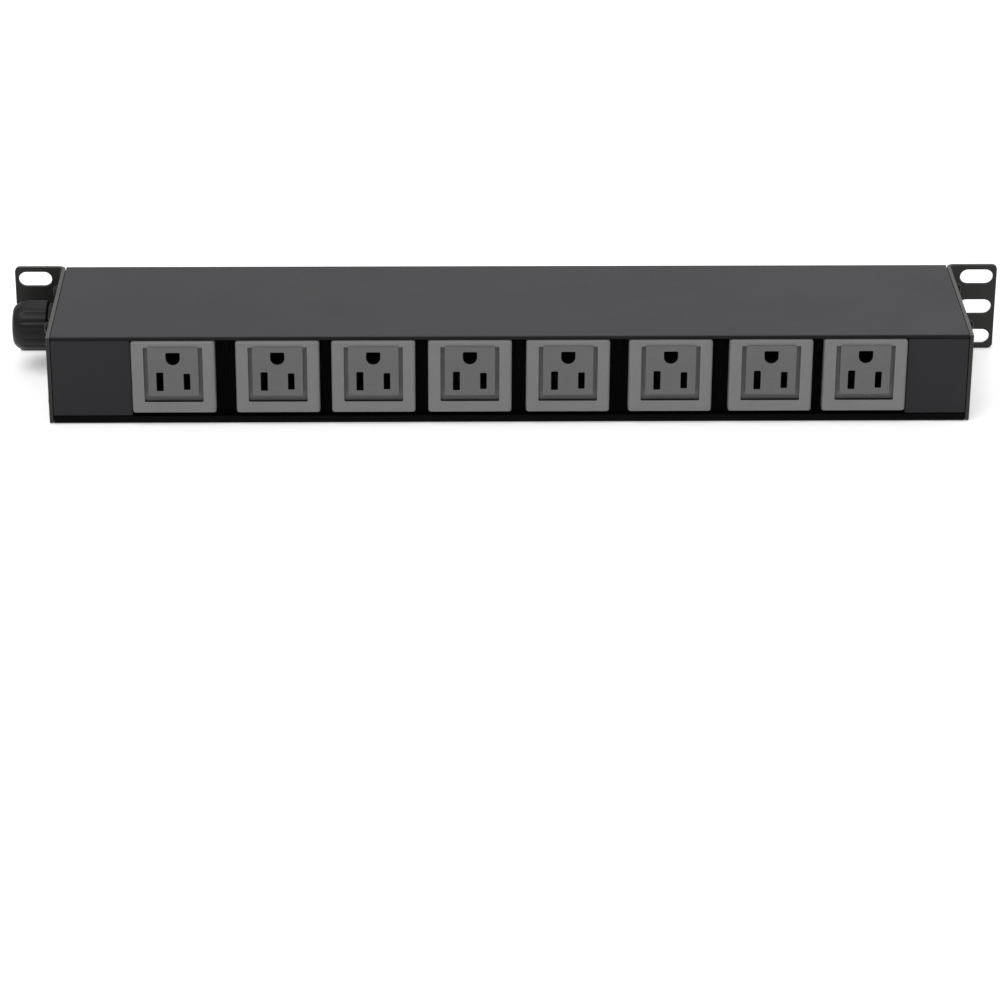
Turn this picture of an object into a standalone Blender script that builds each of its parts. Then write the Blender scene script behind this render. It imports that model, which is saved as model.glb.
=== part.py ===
"""Rack power strip, 19 inch, one unit high.

Frame: +X to the right seen from the switch side, +Y towards the outlets, +Z up.
Origin: middle of the object's bounding box in X and Y, on the plane it rests on.
Lengths below are in millimetres; Blender's units are metres.
"""
import math

import bmesh
import bpy
from mathutils import Matrix, Vector

# ---------------------------------------------------------------- driving dimensions (mm)
OVERALL_WIDTH = 482.6      # across the rack ears
BODY_WIDTH = 436.0         # across the end plates
BODY_DEPTH = 90.0          # front plane to rear plane
BODY_HEIGHT = 44.4         # one rack unit
SHEET = 1.8                # ear and end plate thickness
FRONT_PLANE = -41.9        # world Y of the front plane
GAP = 0.3                  # clearance between neighbouring pieces

EAR_SLOT_PITCH = 462.8     # centre to centre of the obround ear slots
EAR_SLOT_LENGTH = 16.2
EAR_SLOT_WIDTH = 7.6
EAR_SLOT_RISE = 15.875     # outer slots above and below the middle one
BEND_RADIUS = 3.8          # outside radius of the ear's bend

TOP_PLATE = 1.6
BOTTOM_PLATE = 1.8
FRONT_TOP_LIP = 2.4
FRONT_BOTTOM_LIP = 3.6
REAR_BOTTOM_LIP = 4.0
EDGE_RADIUS = 1.5

OUTLET_POSITIONS = (158.6, 109.6, 64.6, 19.2, -27.0, -75.3, -122.6, -167.1)
OUTLET_WIDTH = 39.4
OUTLET_HEIGHT = 36.2
OUTLET_Z = 24.4            # centre height of an outlet module
OUTLET_PROUD = 2.8         # raised face above the rear plane
BEZEL_PROUD = 2.2
BEZEL_CHAMFER = 1.3
FACE_WIDTH = 23.6
FACE_HEIGHT = 24.4
GROOVE_SIDE = 2.1          # groove beside the raised face
GROOVE_LOW = 3.4           # groove under it
FACE_RISE = 3.4            # face centre above the module centre
BLADE_SPACING = 12.7
BLADE_DROP = 1.6           # blade slots below the module centre
GROUND_RISE = 10.1         # ground hole above the module centre
GROUND_WIDTH = 6.0
GROUND_HEIGHT = 5.4
OUTLET_BACK = 62.0         # depth at which the outlet housing ends

SWITCH_X = -175.8
SWITCH_Z = 24.0
ROCKER_AXIS_DEPTH = 4.0
ROCKER_TILT = 10.0         # rest tilt, degrees; the rocker swings twice this
CONTACT_TILT = 6.0

GUARD_LEFT = -194.2
GUARD_RIGHT = -159.4
GUARD_BULGE = 2.4
GUARD_LOW = 8.5
GUARD_HIGH = 37.7
GUARD_FRONT = -9.0
GUARD_WALL = 1.2
HINGE_X = -196.6
HINGE_DEPTH = -3.4
KNUCKLE_RADIUS = 1.9
PIN_RADIUS = 0.75

BREAKER_X = -140.2
BREAKER_Z = 21.0
BUTTON_RADIUS = 4.9

GLAND_DEPTH = 21.5
GLAND_Z = 21.8
GLAND_RADIUS = 12.25
GLAND_TIP = 240.8

SCREW_DEPTHS = (24.0, 70.0)
SCREW_INSET = 3.6          # screws above the base and below the top
SCREW_HEAD_RADIUS = 2.75
SCREW_HEAD_HEIGHT = 2.2

WIRE_DIAMETER = 3.2
MM = 0.001

# ---------------------------------------------------------------- a clean scene
for old in list(bpy.data.objects):
    bpy.data.objects.remove(old, do_unlink=True)
for old in list(bpy.data.meshes):
    bpy.data.meshes.remove(old)


# ---------------------------------------------------------------- materials
def material(name, colour, rough, metal=0.0, alpha=1.0, transmission=0.0, glow=None):
    m = bpy.data.materials.new(name)
    m.use_nodes = True
    p = m.node_tree.nodes["Principled BSDF"]
    p.inputs["Base Color"].default_value = (*colour, 1.0)
    p.inputs["Roughness"].default_value = rough
    p.inputs["Metallic"].default_value = metal
    p.inputs["Alpha"].default_value = alpha
    p.inputs["Transmission Weight"].default_value = transmission
    if glow:
        p.inputs["Emission Color"].default_value = (*glow, 1.0)
        p.inputs["Emission Strength"].default_value = 0.4
    m.diffuse_color = (*colour, alpha)
    return m


M_SHELL = material("shell_paint", (0.070, 0.070, 0.074), 0.48)
M_EAR = material("ear_paint", (0.050, 0.050, 0.050), 0.50)
M_PANEL = material("panel_paint", (0.022, 0.022, 0.026), 0.45)
M_BLANK = material("blank_paint", (0.018, 0.017, 0.015), 0.36)
M_OUTLET_PANEL = material("outlet_panel_plastic", (0.004, 0.004, 0.004), 0.7)
M_OUTLET = material("outlet_plastic", (0.160, 0.160, 0.162), 0.52)
M_SCREW = material("screw_steel", (0.060, 0.060, 0.060), 0.34, 0.9)
M_GLAND = material("gland_plastic", (0.012, 0.012, 0.012), 0.42)
M_SEAL = material("seal_rubber", (0.010, 0.010, 0.010), 0.85)
M_CLEAR = material("guard_clear", (0.85, 0.86, 0.88), 0.08, alpha=0.35, transmission=0.9)
M_GUARD = material("guard_frame_plastic", (0.020, 0.020, 0.022), 0.4)
M_SWITCH = material("switch_plastic", (0.012, 0.012, 0.013), 0.45)
M_ROCKER = material("rocker_red", (0.75, 0.07, 0.06), 0.25, glow=(1.0, 0.15, 0.1))
M_LAMP = material("lamp_glass", (0.90, 0.35, 0.20), 0.1, transmission=0.5)
M_BUTTON = material("button_red", (0.62, 0.08, 0.02), 0.35)
M_BRASS = material("contact_brass", (0.70, 0.47, 0.18), 0.3, 1.0)
M_COPPER = material("busbar_brass", (0.72, 0.50, 0.20), 0.32, 1.0)
M_PIN = material("pin_steel", (0.45, 0.45, 0.46), 0.25, 1.0)
M_BLOCK = material("block_nylon", (0.60, 0.58, 0.52), 0.55)
M_LINE = material("wire_black", (0.015, 0.015, 0.015), 0.5)
M_NEUTRAL = material("wire_white", (0.70, 0.70, 0.68), 0.5)
M_GROUND = material("wire_green", (0.03, 0.25, 0.05), 0.5)


# ---------------------------------------------------------------- helpers
def at(x, d, z):
    """World point from X, depth behind the front plane, and height, in mm."""
    return Vector((x * MM, (FRONT_PLANE + d) * MM, z * MM))


def arc(cx, cy, r, a0, a1, n):
    """Points of an arc, both ends included, angles in degrees."""
    out = []
    for i in range(n + 1):
        a = math.radians(a0 + (a1 - a0) * i / n)
        out.append((cx + r * math.cos(a), cy + r * math.sin(a)))
    return out


def rounded(u0, u1, v0, v1, r, n=4):
    """Rounded rectangle outline, anticlockwise."""
    return (arc(u1 - r, v0 + r, r, -90, 0, n) + arc(u1 - r, v1 - r, r, 0, 90, n)
            + arc(u0 + r, v1 - r, r, 90, 180, n) + arc(u0 + r, v0 + r, r, 180, 270, n))


def finish_bmesh(name, bm, mat, angle=35.0):
    bmesh.ops.recalc_face_normals(bm, faces=bm.faces[:])
    me = bpy.data.meshes.new(name)
    bm.to_mesh(me)
    bm.free()
    if mat:
        me.materials.append(mat)
    me.shade_smooth()
    me.set_sharp_from_angle(angle=math.radians(angle))
    ob = bpy.data.objects.new(name, me)
    bpy.context.scene.collection.objects.link(ob)
    return ob


def to_axis(axis, u, v, w):
    """A profile's u, v and its extrusion w as (x, depth, z)."""
    if axis == "X":
        return at(w, u, v)       # u is depth, v is height
    if axis == "Y":
        return at(u, w, v)       # u is X, v is height
    return at(u, v, w)           # u is X, v is depth


def add_prism(bm, outline, axis, w0, w1):
    low = [bm.verts.new(to_axis(axis, u, v, w0)) for u, v in outline]
    high = [bm.verts.new(to_axis(axis, u, v, w1)) for u, v in outline]
    bm.faces.new(low)
    bm.faces.new(high[::-1])
    n = len(outline)
    for i in range(n):
        j = (i + 1) % n
        bm.faces.new((low[j], low[i], high[i], high[j]))


def prism(name, outline, axis, w0, w1, mat=None):
    bm = bmesh.new()
    add_prism(bm, outline, axis, w0, w1)
    return finish_bmesh(name, bm, mat)


def rect(u0, u1, v0, v1):
    return [(u0, v0), (u1, v0), (u1, v1), (u0, v1)]


def box(name, x0, x1, d0, d1, z0, z1, mat=None):
    return prism(name, rect(x0, x1, z0, z1), "Y", d0, d1, mat)


def circle(cu, cv, r, n=16, turn=0.5):
    return [(cu + r * math.cos(2 * math.pi * (i + turn) / n),
             cv + r * math.sin(2 * math.pi * (i + turn) / n)) for i in range(n)]


def turned(name, profile, centre_u, centre_v, axis, n=24, mat=None):
    """Solid of revolution. profile is a closed loop of (radius, w) with w along the axis.
    A radius of zero at both ends closes on the axis."""
    bm = bmesh.new()
    rings = []
    for r, w in profile:
        if r < 1e-6:
            rings.append([bm.verts.new(to_axis(axis, centre_u, centre_v, w))])
        else:
            rings.append([bm.verts.new(to_axis(axis, centre_u + r * math.cos(2 * math.pi * (i + 0.5) / n),
                                               centre_v + r * math.sin(2 * math.pi * (i + 0.5) / n), w))
                          for i in range(n)])
    closed = profile[0][0] > 1e-6
    pairs = list(zip(rings, rings[1:]))
    if closed:
        pairs.append((rings[-1], rings[0]))
    for a, b in pairs:
        for i in range(n):
            j = (i + 1) % n
            if len(a) == 1:
                bm.faces.new((a[0], b[i], b[j]))
            elif len(b) == 1:
                bm.faces.new((a[i], b[0], a[j]))
            else:
                bm.faces.new((a[i], b[i], b[j], a[j]))
    return finish_bmesh(name, bm, mat)


def combine(target, others, operation):
    """Join or cut with EXACT booleans, keep the result as the target's mesh."""
    for other in others:
        mod = target.modifiers.new(operation.lower(), "BOOLEAN")
        mod.operation = operation
        mod.solver = "EXACT"
        mod.object = other
    bpy.context.view_layer.update()
    graph = bpy.context.evaluated_depsgraph_get()
    new = bpy.data.meshes.new_from_object(target.evaluated_get(graph))
    target.modifiers.clear()
    old = target.data
    target.data = new
    bpy.data.meshes.remove(old)
    for other in others:
        mesh = other.data
        bpy.data.objects.remove(other, do_unlink=True)
        bpy.data.meshes.remove(mesh)
    bm = bmesh.new()
    bm.from_mesh(new)
    bmesh.ops.remove_doubles(bm, verts=bm.verts[:], dist=1e-6)
    bmesh.ops.dissolve_limit(bm, angle_limit=math.radians(0.05), verts=bm.verts[:], edges=bm.edges[:])
    bm.to_mesh(new)
    bm.free()
    new.shade_smooth()
    new.set_sharp_from_angle(angle=math.radians(35.0))
    new.name = target.name
    return target


def cutters(bodies):
    """One object that holds several separate closed cutter bodies."""
    bm = bmesh.new()
    for outline, axis, w0, w1 in bodies:
        add_prism(bm, outline, axis, w0, w1)
    ob = finish_bmesh("cutter", bm, None)
    ob.hide_render = True
    ob.display_type = "WIRE"
    return ob


def join(target, *others):
    return combine(target, list(others), "UNION")


def cut(target, *others):
    return combine(target, list(others), "DIFFERENCE")


def obround(cu, cv, length, width, n=8):
    r = width / 2
    s = length / 2 - r
    return arc(cu + s, cv, r, -90, 90, n) + arc(cu - s, cv, r, 90, 270, n)


def tube(name, points, diameter, mat):
    """A round wire along a smooth curve through the given points."""
    pts = [at(*p) for p in points]
    dense = []
    ext = [pts[0] * 2 - pts[1]] + pts + [pts[-1] * 2 - pts[-2]]
    for i in range(1, len(ext) - 2):
        p0, p1, p2, p3 = ext[i - 1], ext[i], ext[i + 1], ext[i + 2]
        steps = max(2, min(5, round((p2 - p1).length / (3.0 * diameter * MM))))
        if (p2 - p1).length > 0.05:
            steps = 4
        for k in range(steps):
            t = k / steps
            dense.append(0.5 * ((2 * p1) + (p2 - p0) * t + (2 * p0 - 5 * p1 + 4 * p2 - p3) * t * t
                                + (3 * p1 - p0 - 3 * p2 + p3) * t ** 3))
    dense.append(pts[-1])
    curve = bpy.data.curves.new(name, "CURVE")
    curve.dimensions = "3D"
    curve.bevel_depth = diameter * MM / 2
    curve.bevel_resolution = 2
    curve.use_fill_caps = True
    spline = curve.splines.new("POLY")
    spline.points.add(len(dense) - 1)
    for sp, p in zip(spline.points, dense):
        sp.co = (*p, 1.0)
    spline.use_smooth = True
    curve.materials.append(mat)
    ob = bpy.data.objects.new(name, curve)
    bpy.context.scene.collection.objects.link(ob)
    return ob


def move_origin(ob, point):
    """Put an object's origin on a point of its joint's axis, with the mesh left where it is."""
    ob.data.transform(Matrix.Translation(-point))
    ob.location = point


END_INNER = BODY_WIDTH / 2 - SHEET          # inner face of an end plate
SHELL_HALF = END_INNER - GAP                # half length of the shells
TOP = BODY_HEIGHT
PORT_LENGTH = 18.0

# ---------------------------------------------------------------- shells
top_profile = (arc(EDGE_RADIUS + 0.5, TOP - EDGE_RADIUS - 0.5, EDGE_RADIUS + 0.5, 180, 90, 4)
               + arc(BODY_DEPTH - EDGE_RADIUS, TOP - EDGE_RADIUS, EDGE_RADIUS, 90, 0, 4)
               + [(BODY_DEPTH, TOP - TOP_PLATE), (4.3, TOP - TOP_PLATE), (4.3, 37.0), (2.8, 37.0),
                  (2.8, TOP - TOP_PLATE - 0.1), (1.4, TOP - TOP_PLATE - 0.1), (1.4, TOP - FRONT_TOP_LIP),
                  (0.0, TOP - FRONT_TOP_LIP)])
top_shell = prism("top_shell", top_profile, "X", -SHELL_HALF, SHELL_HALF, M_SHELL)
bottom_profile = (arc(2.0, 2.0, 2.0, 270, 180, 4)
                  + [(0.0, FRONT_BOTTOM_LIP), (1.4, FRONT_BOTTOM_LIP), (1.4, BOTTOM_PLATE), (2.8, BOTTOM_PLATE),
                     (2.8, 7.0), (4.3, 7.0), (4.3, BOTTOM_PLATE), (BODY_DEPTH - 1.5, BOTTOM_PLATE),
                     (BODY_DEPTH - 1.5, REAR_BOTTOM_LIP), (BODY_DEPTH, REAR_BOTTOM_LIP)]
                  + arc(BODY_DEPTH - 1.5, 1.5, 1.5, 0, -90, 4))
bottom_shell = prism("bottom_shell", bottom_profile, "X", -SHELL_HALF, SHELL_HALF, M_SHELL)

for shell, z, web0, web1 in ((top_shell, TOP - SCREW_INSET, TOP - SCREW_INSET, TOP - 0.8),
                             (bottom_shell, SCREW_INSET, 0.9, SCREW_INSET)):
    bosses, bores = [], []
    for side in (-1, 1):
        for d in SCREW_DEPTHS:
            w0, w1 = sorted((side * SHELL_HALF, side * (SHELL_HALF - PORT_LENGTH)))
            bosses.append(prism("boss", circle(d, z, 3.0, 12), "X", w0, w1))
            bosses.append(prism("web", rect(d - 2.0, d + 2.0, web0, web1), "X", w0, w1))
            e0, e1 = sorted((side * (SHELL_HALF + 1), side * (SHELL_HALF - 16.0)))
            bores.append((circle(d, z, 1.75, 12), "X", e0, e1))
    join(shell, *bosses)
    cut(shell, cutters(bores))

# ---------------------------------------------------------------- end brackets with rack ears
def end_bracket(name, side):
    inner, outer = END_INNER, BODY_WIDTH / 2
    r_in = BEND_RADIUS - SHEET
    cx, cd = inner + BEND_RADIUS, BEND_RADIUS
    outline = ([(inner, BODY_DEPTH)] + arc(cx, cd, BEND_RADIUS, 180, 270, 6)
               + [(OVERALL_WIDTH / 2, 0.0), (OVERALL_WIDTH / 2, SHEET)]
               + arc(cx, cd, r_in, 270, 180, 6) + [(outer, BODY_DEPTH)])
    outline = [(side * u, v) for u, v in outline]
    bm = bmesh.new()
    add_prism(bm, outline, "Z", 0.0, BODY_HEIGHT)
    tip = side * OVERALL_WIDTH / 2 * MM
    back = (FRONT_PLANE + BODY_DEPTH) * MM
    ear_corners, plate_corners = [], []
    for e in bm.edges:
        a, b = e.verts[0].co, e.verts[1].co
        if abs(a.z - b.z) < 1e-7 and abs(a.x - tip) < 1e-7 and abs(b.x - tip) < 1e-7:
            ear_corners.append(e)
        if abs(a.z - b.z) < 1e-7 and abs(a.y - back) < 1e-7 and abs(b.y - back) < 1e-7:
            plate_corners.append(e)
    bmesh.ops.bevel(bm, geom=ear_corners, offset=2.5 * MM, segments=4, profile=0.5, affect="EDGES")
    plate_corners = [e for e in plate_corners if e.is_valid]
    bmesh.ops.bevel(bm, geom=plate_corners, offset=1.6 * MM, segments=3, profile=0.5, affect="EDGES")
    ob = finish_bmesh(name, bm, M_EAR)
    holes = []
    for rise in (-EAR_SLOT_RISE, 0.0, EAR_SLOT_RISE):
        holes.append((obround(side * EAR_SLOT_PITCH / 2, BODY_HEIGHT / 2 + rise, EAR_SLOT_LENGTH, EAR_SLOT_WIDTH),
                      "Y", -1.0, SHEET + 1.0))
    for d in SCREW_DEPTHS:
        for z in (SCREW_INSET, TOP - SCREW_INSET):
            w0, w1 = sorted((side * (inner - 1), side * (outer + 1)))
            holes.append((circle(d, z, 1.75, 12), "X", w0, w1))
    if side > 0:
        holes.append((circle(GLAND_DEPTH, GLAND_Z, 8.1, 24), "X", inner - 1, outer + 1))
    return cut(ob, cutters(holes))


end_bracket("end_bracket_left", -1)
end_bracket("end_bracket_right", 1)

# ---------------------------------------------------------------- end screws
def end_screw(name, side, d, z):
    head = BODY_WIDTH / 2 + 0.05
    profile = [(0.0, head - 13.5), (1.0, head - 13.5), (1.4, head - 12.6), (1.4, head), (SCREW_HEAD_RADIUS, head),
               (SCREW_HEAD_RADIUS, head + 1.0), (2.35, head + 1.75), (1.4, head + SCREW_HEAD_HEIGHT),
               (0.0, head + SCREW_HEAD_HEIGHT)]
    ob = turned(name, [(r, side * w) for r, w in profile], d, z, "X", 14, M_SCREW)
    w0, w1 = sorted((side * (head + 1.0), side * (head + 4)))
    cross = [(-1.6, -0.35), (-0.35, -0.35), (-0.35, -1.6), (0.35, -1.6), (0.35, -0.35), (1.6, -0.35), (1.6, 0.35),
             (0.35, 0.35), (0.35, 1.6), (-0.35, 1.6), (-0.35, 0.35), (-1.6, 0.35)]
    return cut(ob, cutters([([(d + a, z + b) for a, b in cross], "X", w0, w1)]))


for side, word in ((-1, "left"), (1, "right")):
    number = 1
    for d in SCREW_DEPTHS:
        for z in (TOP - SCREW_INSET, SCREW_INSET):
            end_screw("end_screw_%s_%d" % (word, number), side, d, z)
            number += 1

# ---------------------------------------------------------------- outlets
def outlet_mesh():
    """One outlet module about X = 0, on the rear plane."""
    rear = BODY_DEPTH
    hw, hh = OUTLET_WIDTH / 2, OUTLET_HEIGHT / 2
    bm = bmesh.new()
    rows = []
    for w, inset in ((86.4, 0.0), (rear + BEZEL_PROUD - BEZEL_CHAMFER, 0.0), (rear + BEZEL_PROUD, BEZEL_CHAMFER)):
        outline = rounded(-hw + inset, hw - inset, OUTLET_Z - hh + inset, OUTLET_Z + hh - inset, 1.2, 1)
        rows.append([bm.verts.new(to_axis("Y", u, v, w)) for u, v in outline])
    bm.faces.new(rows[0])
    bm.faces.new(rows[-1][::-1])
    n = len(rows[0])
    for a, b in zip(rows, rows[1:]):
        for i in range(n):
            j = (i + 1) % n
            bm.faces.new((a[j], a[i], b[i], b[j]))
    ob = finish_bmesh("outlet", bm, M_OUTLET)
    housing = box("housing", -17.2, 17.2, OUTLET_BACK, 87.4, OUTLET_Z - 16.5, OUTLET_Z + 16.2)
    fz = OUTLET_Z + FACE_RISE
    face = prism("face", rounded(-FACE_WIDTH / 2, FACE_WIDTH / 2, fz - FACE_HEIGHT / 2, fz + FACE_HEIGHT / 2 + 0.3,
                                 0.6, 1), "Y", 86.9, rear + OUTLET_PROUD)
    join(ob, housing, face)
    left, right = -FACE_WIDTH / 2, FACE_WIDTH / 2
    low, high = fz - FACE_HEIGHT / 2, fz + FACE_HEIGHT / 2
    side = GROOVE_SIDE
    groove = [(left - side, low - GROOVE_LOW), (right + side, low - GROOVE_LOW), (right + side, high), (right, high),
              (right, low), (left, low), (left, high), (left - side, high)]
    gz = OUTLET_Z + GROUND_RISE
    ground = ([(-GROUND_WIDTH / 2, gz + GROUND_HEIGHT / 2)]
              + arc(0, gz + 0.2, GROUND_WIDTH / 2, 180, 360, 4) + [(GROUND_WIDTH / 2, gz + GROUND_HEIGHT / 2)])
    bz = OUTLET_Z - BLADE_DROP
    half = BLADE_SPACING / 2
    cut(ob, cutters([(groove, "Y", rear + 0.2, rear + 5)]))
    cut(ob, cutters([
        (ground, "Y", 84.0, rear + 5),
        (rect(half - 1.3, half + 1.3, bz - 4.4, bz + 4.4), "Y", 84.0, rear + 5),
        (rect(-half - 1.2, -half + 1.2, bz - 3.8, bz + 3.8), "Y", 84.0, rear + 5)]))
    chamber = rect(-half - 2.9, half + 2.9, bz - 5.4, gz + 3.3)
    cut(ob, cutters([(chamber, "Y", OUTLET_BACK - 1, 87.0)]))
    return ob


master = outlet_mesh()
for index, x in enumerate(OUTLET_POSITIONS, 1):
    ob = bpy.data.objects.new("outlet_%d" % index, master.data)
    ob.location = (x * MM, 0.0, 0.0)
    bpy.context.scene.collection.objects.link(ob)
bpy.data.objects.remove(master, do_unlink=True)

# ---------------------------------------------------------------- outlet panel and rear blanks
panel = box("outlet_panel", -214.0, 214.0, 84.4, 86.1, 2.1, 41.7, M_OUTLET_PANEL)
windows = [(rect(x - 17.5, x + 17.5, OUTLET_Z - 16.8, OUTLET_Z + 16.5), "Y", 83.0, 88.0) for x in OUTLET_POSITIONS]
notches = []
for side in (-1, 1):
    u0, u1 = sorted((side * 191.0, side * 220.0))
    notches.append((rect(u0, u1, 34.4, 44.0), "Y", 83.0, 88.0))
    notches.append((rect(u0, u1, 0.0, 9.2), "Y", 83.0, 88.0))
cut(panel, cutters(windows))
cut(panel, cutters(notches))
edge_a = OUTLET_POSITIONS[0] + OUTLET_WIDTH / 2 + 0.4
edge_b = OUTLET_POSITIONS[-1] - OUTLET_WIDTH / 2 - 0.4


def rear_blank(name, x0, x1):
    """Filler plate with two short legs that stand off the outlet panel."""
    z0, z1 = REAR_BOTTOM_LIP + GAP, TOP - TOP_PLATE - GAP
    ob = box(name, x0, x1, 88.0, 89.8, z0, z1, M_PANEL)
    mid = (x0 + x1) / 2
    legs = [box("leg", mid - 9.0, mid - 7.4, 86.4, 88.6, 14.0, 30.0),
            box("leg", mid + 7.4, mid + 9.0, 86.4, 88.6, 14.0, 30.0)]
    return join(ob, *legs)


rear_blank("rear_blank_gland_end", edge_a, SHELL_HALF)
rear_blank("rear_blank_far_end", -SHELL_HALF, edge_b)

# ---------------------------------------------------------------- busbars: combs whose leaves enter the outlets
def comb(name, offset, z0, z1, gap_half, thick, tip, strip, x_low, x_high):
    outline = [(x_high, strip), (x_low, strip), (x_low, strip + 1.2)]
    for x in sorted(OUTLET_POSITIONS):
        for sign in (-1, 1):
            centre = x + offset + sign * (gap_half + thick / 2)
            outline += [(centre - thick / 2, strip + 1.2), (centre - thick / 2, tip),
                        (centre + thick / 2, tip), (centre + thick / 2, strip + 1.2)]
    outline.append((x_high, strip + 1.2))
    return prism(name, outline, "Z", z0, z1, M_COPPER)


comb("busbar_neutral", BLADE_SPACING / 2, 18.8, 22.2, 0.9, 0.5, 84.6, 58.0, -178.0, 174.0)
comb("busbar_line", -BLADE_SPACING / 2, 22.8, 26.2, 0.9, 0.5, 84.6, 58.0, -182.0, 168.0)
comb("busbar_ground", 0.0, 33.0, 36.2, 2.55, 0.6, 84.6, 58.0, -172.0, 166.0)

# ---------------------------------------------------------------- front panels
Z0, Z1 = FRONT_BOTTOM_LIP + GAP, TOP - FRONT_TOP_LIP - GAP
P0, P1 = 0.4, 2.4
switch_panel = box("switch_panel", -SHELL_HALF, -149.5, P0, P1, Z0, Z1, M_PANEL)
cut(switch_panel, cutters([(rect(SWITCH_X - 11.9, SWITCH_X + 11.9, SWITCH_Z - 11.2, SWITCH_Z + 11.2), "Y", -2, 5)]))
breaker_panel = box("breaker_panel", -149.2, -131.1, P0, P1, Z0, Z1, M_PANEL)
cut(breaker_panel, cutters([(circle(BREAKER_X, BREAKER_Z, 7.6, 24), "Y", -2, 5)]))
box("front_blank", -130.8, 203.8, P0, P1, Z0, Z1, M_BLANK)
box("front_end_filler", 204.1, SHELL_HALF, P0, P1, Z0, Z1, M_PANEL)

# ---------------------------------------------------------------- switch
flange = box("switch_body", SWITCH_X - 12.8, SWITCH_X + 12.8, -1.2, 0.1, SWITCH_Z - 12.2, SWITCH_Z + 12.2, M_SWITCH)
house = box("house", SWITCH_X - 11.5, SWITCH_X + 11.5, -0.6, 28.0, SWITCH_Z - 10.8, SWITCH_Z + 10.8)
join(flange, house)
cut(flange, cutters([
    (rect(SWITCH_X - 9.4, SWITCH_X + 9.4, SWITCH_Z - 8.6, SWITCH_Z + 8.6), "Y", -3.0, 9.5)]))
cut(flange, cutters([
    (rect(SWITCH_X - 8.6, SWITCH_X + 8.6, SWITCH_Z - 6.0, SWITCH_Z + 6.0), "Y", 8.0, 24.5),
    (circle(SWITCH_X, ROCKER_AXIS_DEPTH, 1.5, 12), "Z", SWITCH_Z - 9.9, SWITCH_Z + 9.9)]))
cut(flange, cutters([(rect(SWITCH_X + dx - 0.75, SWITCH_X + dx + 0.75, SWITCH_Z - 3.5, SWITCH_Z + 3.5), "Y", 23.0, 30.0)
                     for dx in (-6.2, 0.0, 6.2)]))

rocker_outline = [(-8.0, -2.4), (-4.0, -1.75), (0.0, -1.3), (4.0, -1.75), (8.0, -2.4), (8.5, 1.0), (8.6, 3.5),
                  (8.0, 6.2), (-8.0, 6.2), (-8.6, 3.5), (-8.5, 1.0)]
rocker = prism("switch_rocker", [(SWITCH_X + u, v) for u, v in rocker_outline], "Z",
               SWITCH_Z - 8.2, SWITCH_Z + 8.2, M_ROCKER)
axle = prism("axle", circle(SWITCH_X, ROCKER_AXIS_DEPTH, 1.15, 12), "Z", SWITCH_Z - 9.5, SWITCH_Z + 9.5)
stem = box("stem", SWITCH_X - 1.2, SWITCH_X + 1.2, 5.0, 16.8, SWITCH_Z - 1.6, SWITCH_Z + 1.6)
join(rocker, axle, stem)
cut(rocker, cutters([(rect(SWITCH_X - 6.4, SWITCH_X - 2.0, SWITCH_Z - 6.4, SWITCH_Z + 6.4), "Y", 0.4, 8.0)]))
rocker_axis = at(SWITCH_X, ROCKER_AXIS_DEPTH, SWITCH_Z)
move_origin(rocker, rocker_axis)
rocker.rotation_euler = (0.0, 0.0, math.radians(-ROCKER_TILT))

lamp = turned("switch_lamp", [(0.0, SWITCH_Z - 4.8), (1.1, SWITCH_Z - 4.8), (1.6, SWITCH_Z - 4.2),
                              (1.6, SWITCH_Z + 3.6), (0.9, SWITCH_Z + 4.6), (0.0, SWITCH_Z + 4.8)],
              SWITCH_X - 4.2, 2.9, "Z", 10, M_LAMP)
move_origin(lamp, rocker_axis)
lamp.rotation_euler = (0.0, 0.0, math.radians(-ROCKER_TILT))

contact_axis = at(SWITCH_X, 18.6, SWITCH_Z)
contact_outline = [(-7.0, 18.2), (-0.5, 18.2), (-0.5, 17.4), (0.5, 17.4), (0.5, 18.2), (7.0, 18.2), (7.0, 19.0),
                   (5.4, 19.0), (0.6, 18.9), (-0.6, 18.9), (-5.4, 19.0), (-7.0, 19.0)]
contact = prism("moving_contact", [(SWITCH_X + u, v) for u, v in contact_outline], "Z",
                SWITCH_Z - 2.2, SWITCH_Z + 2.2, M_BRASS)
move_origin(contact, contact_axis)
contact.rotation_euler = (0.0, 0.0, math.radians(CONTACT_TILT))

for word, dx, top in (("supply", 0.0, 19.3), ("load", 6.2, 20.1), ("lamp", -6.2, 20.1)):
    box("switch_terminal_" + word, SWITCH_X + dx - 0.4, SWITCH_X + dx + 0.4, top, 36.0,
        SWITCH_Z - 3.1, SWITCH_Z + 3.1, M_BRASS)

# ---------------------------------------------------------------- switch guard
frame = box("guard_frame", -195.5, -157.4, -1.6, 0.1, 8.7, 37.5, M_GUARD)
knuckles = []
for z0, z1 in ((10.2, 13.4), (34.4, 37.4)):
    knuckles.append(prism("knuckle", circle(HINGE_X, HINGE_DEPTH, KNUCKLE_RADIUS, 16), "Z", z0, z1))
    knuckles.append(box("arm", -198.3, -194.7, HINGE_DEPTH, 0.1, z0, z1))
join(frame, *knuckles)
cut(frame, cutters([(rect(SWITCH_X - 13.1, SWITCH_X + 13.1, SWITCH_Z - 12.5, SWITCH_Z + 12.5), "Y", -4.0, 2.0),
                    (circle(HINGE_X, HINGE_DEPTH, PIN_RADIUS + 0.3, 12), "Z", 5.0, 40.0)]))

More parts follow.
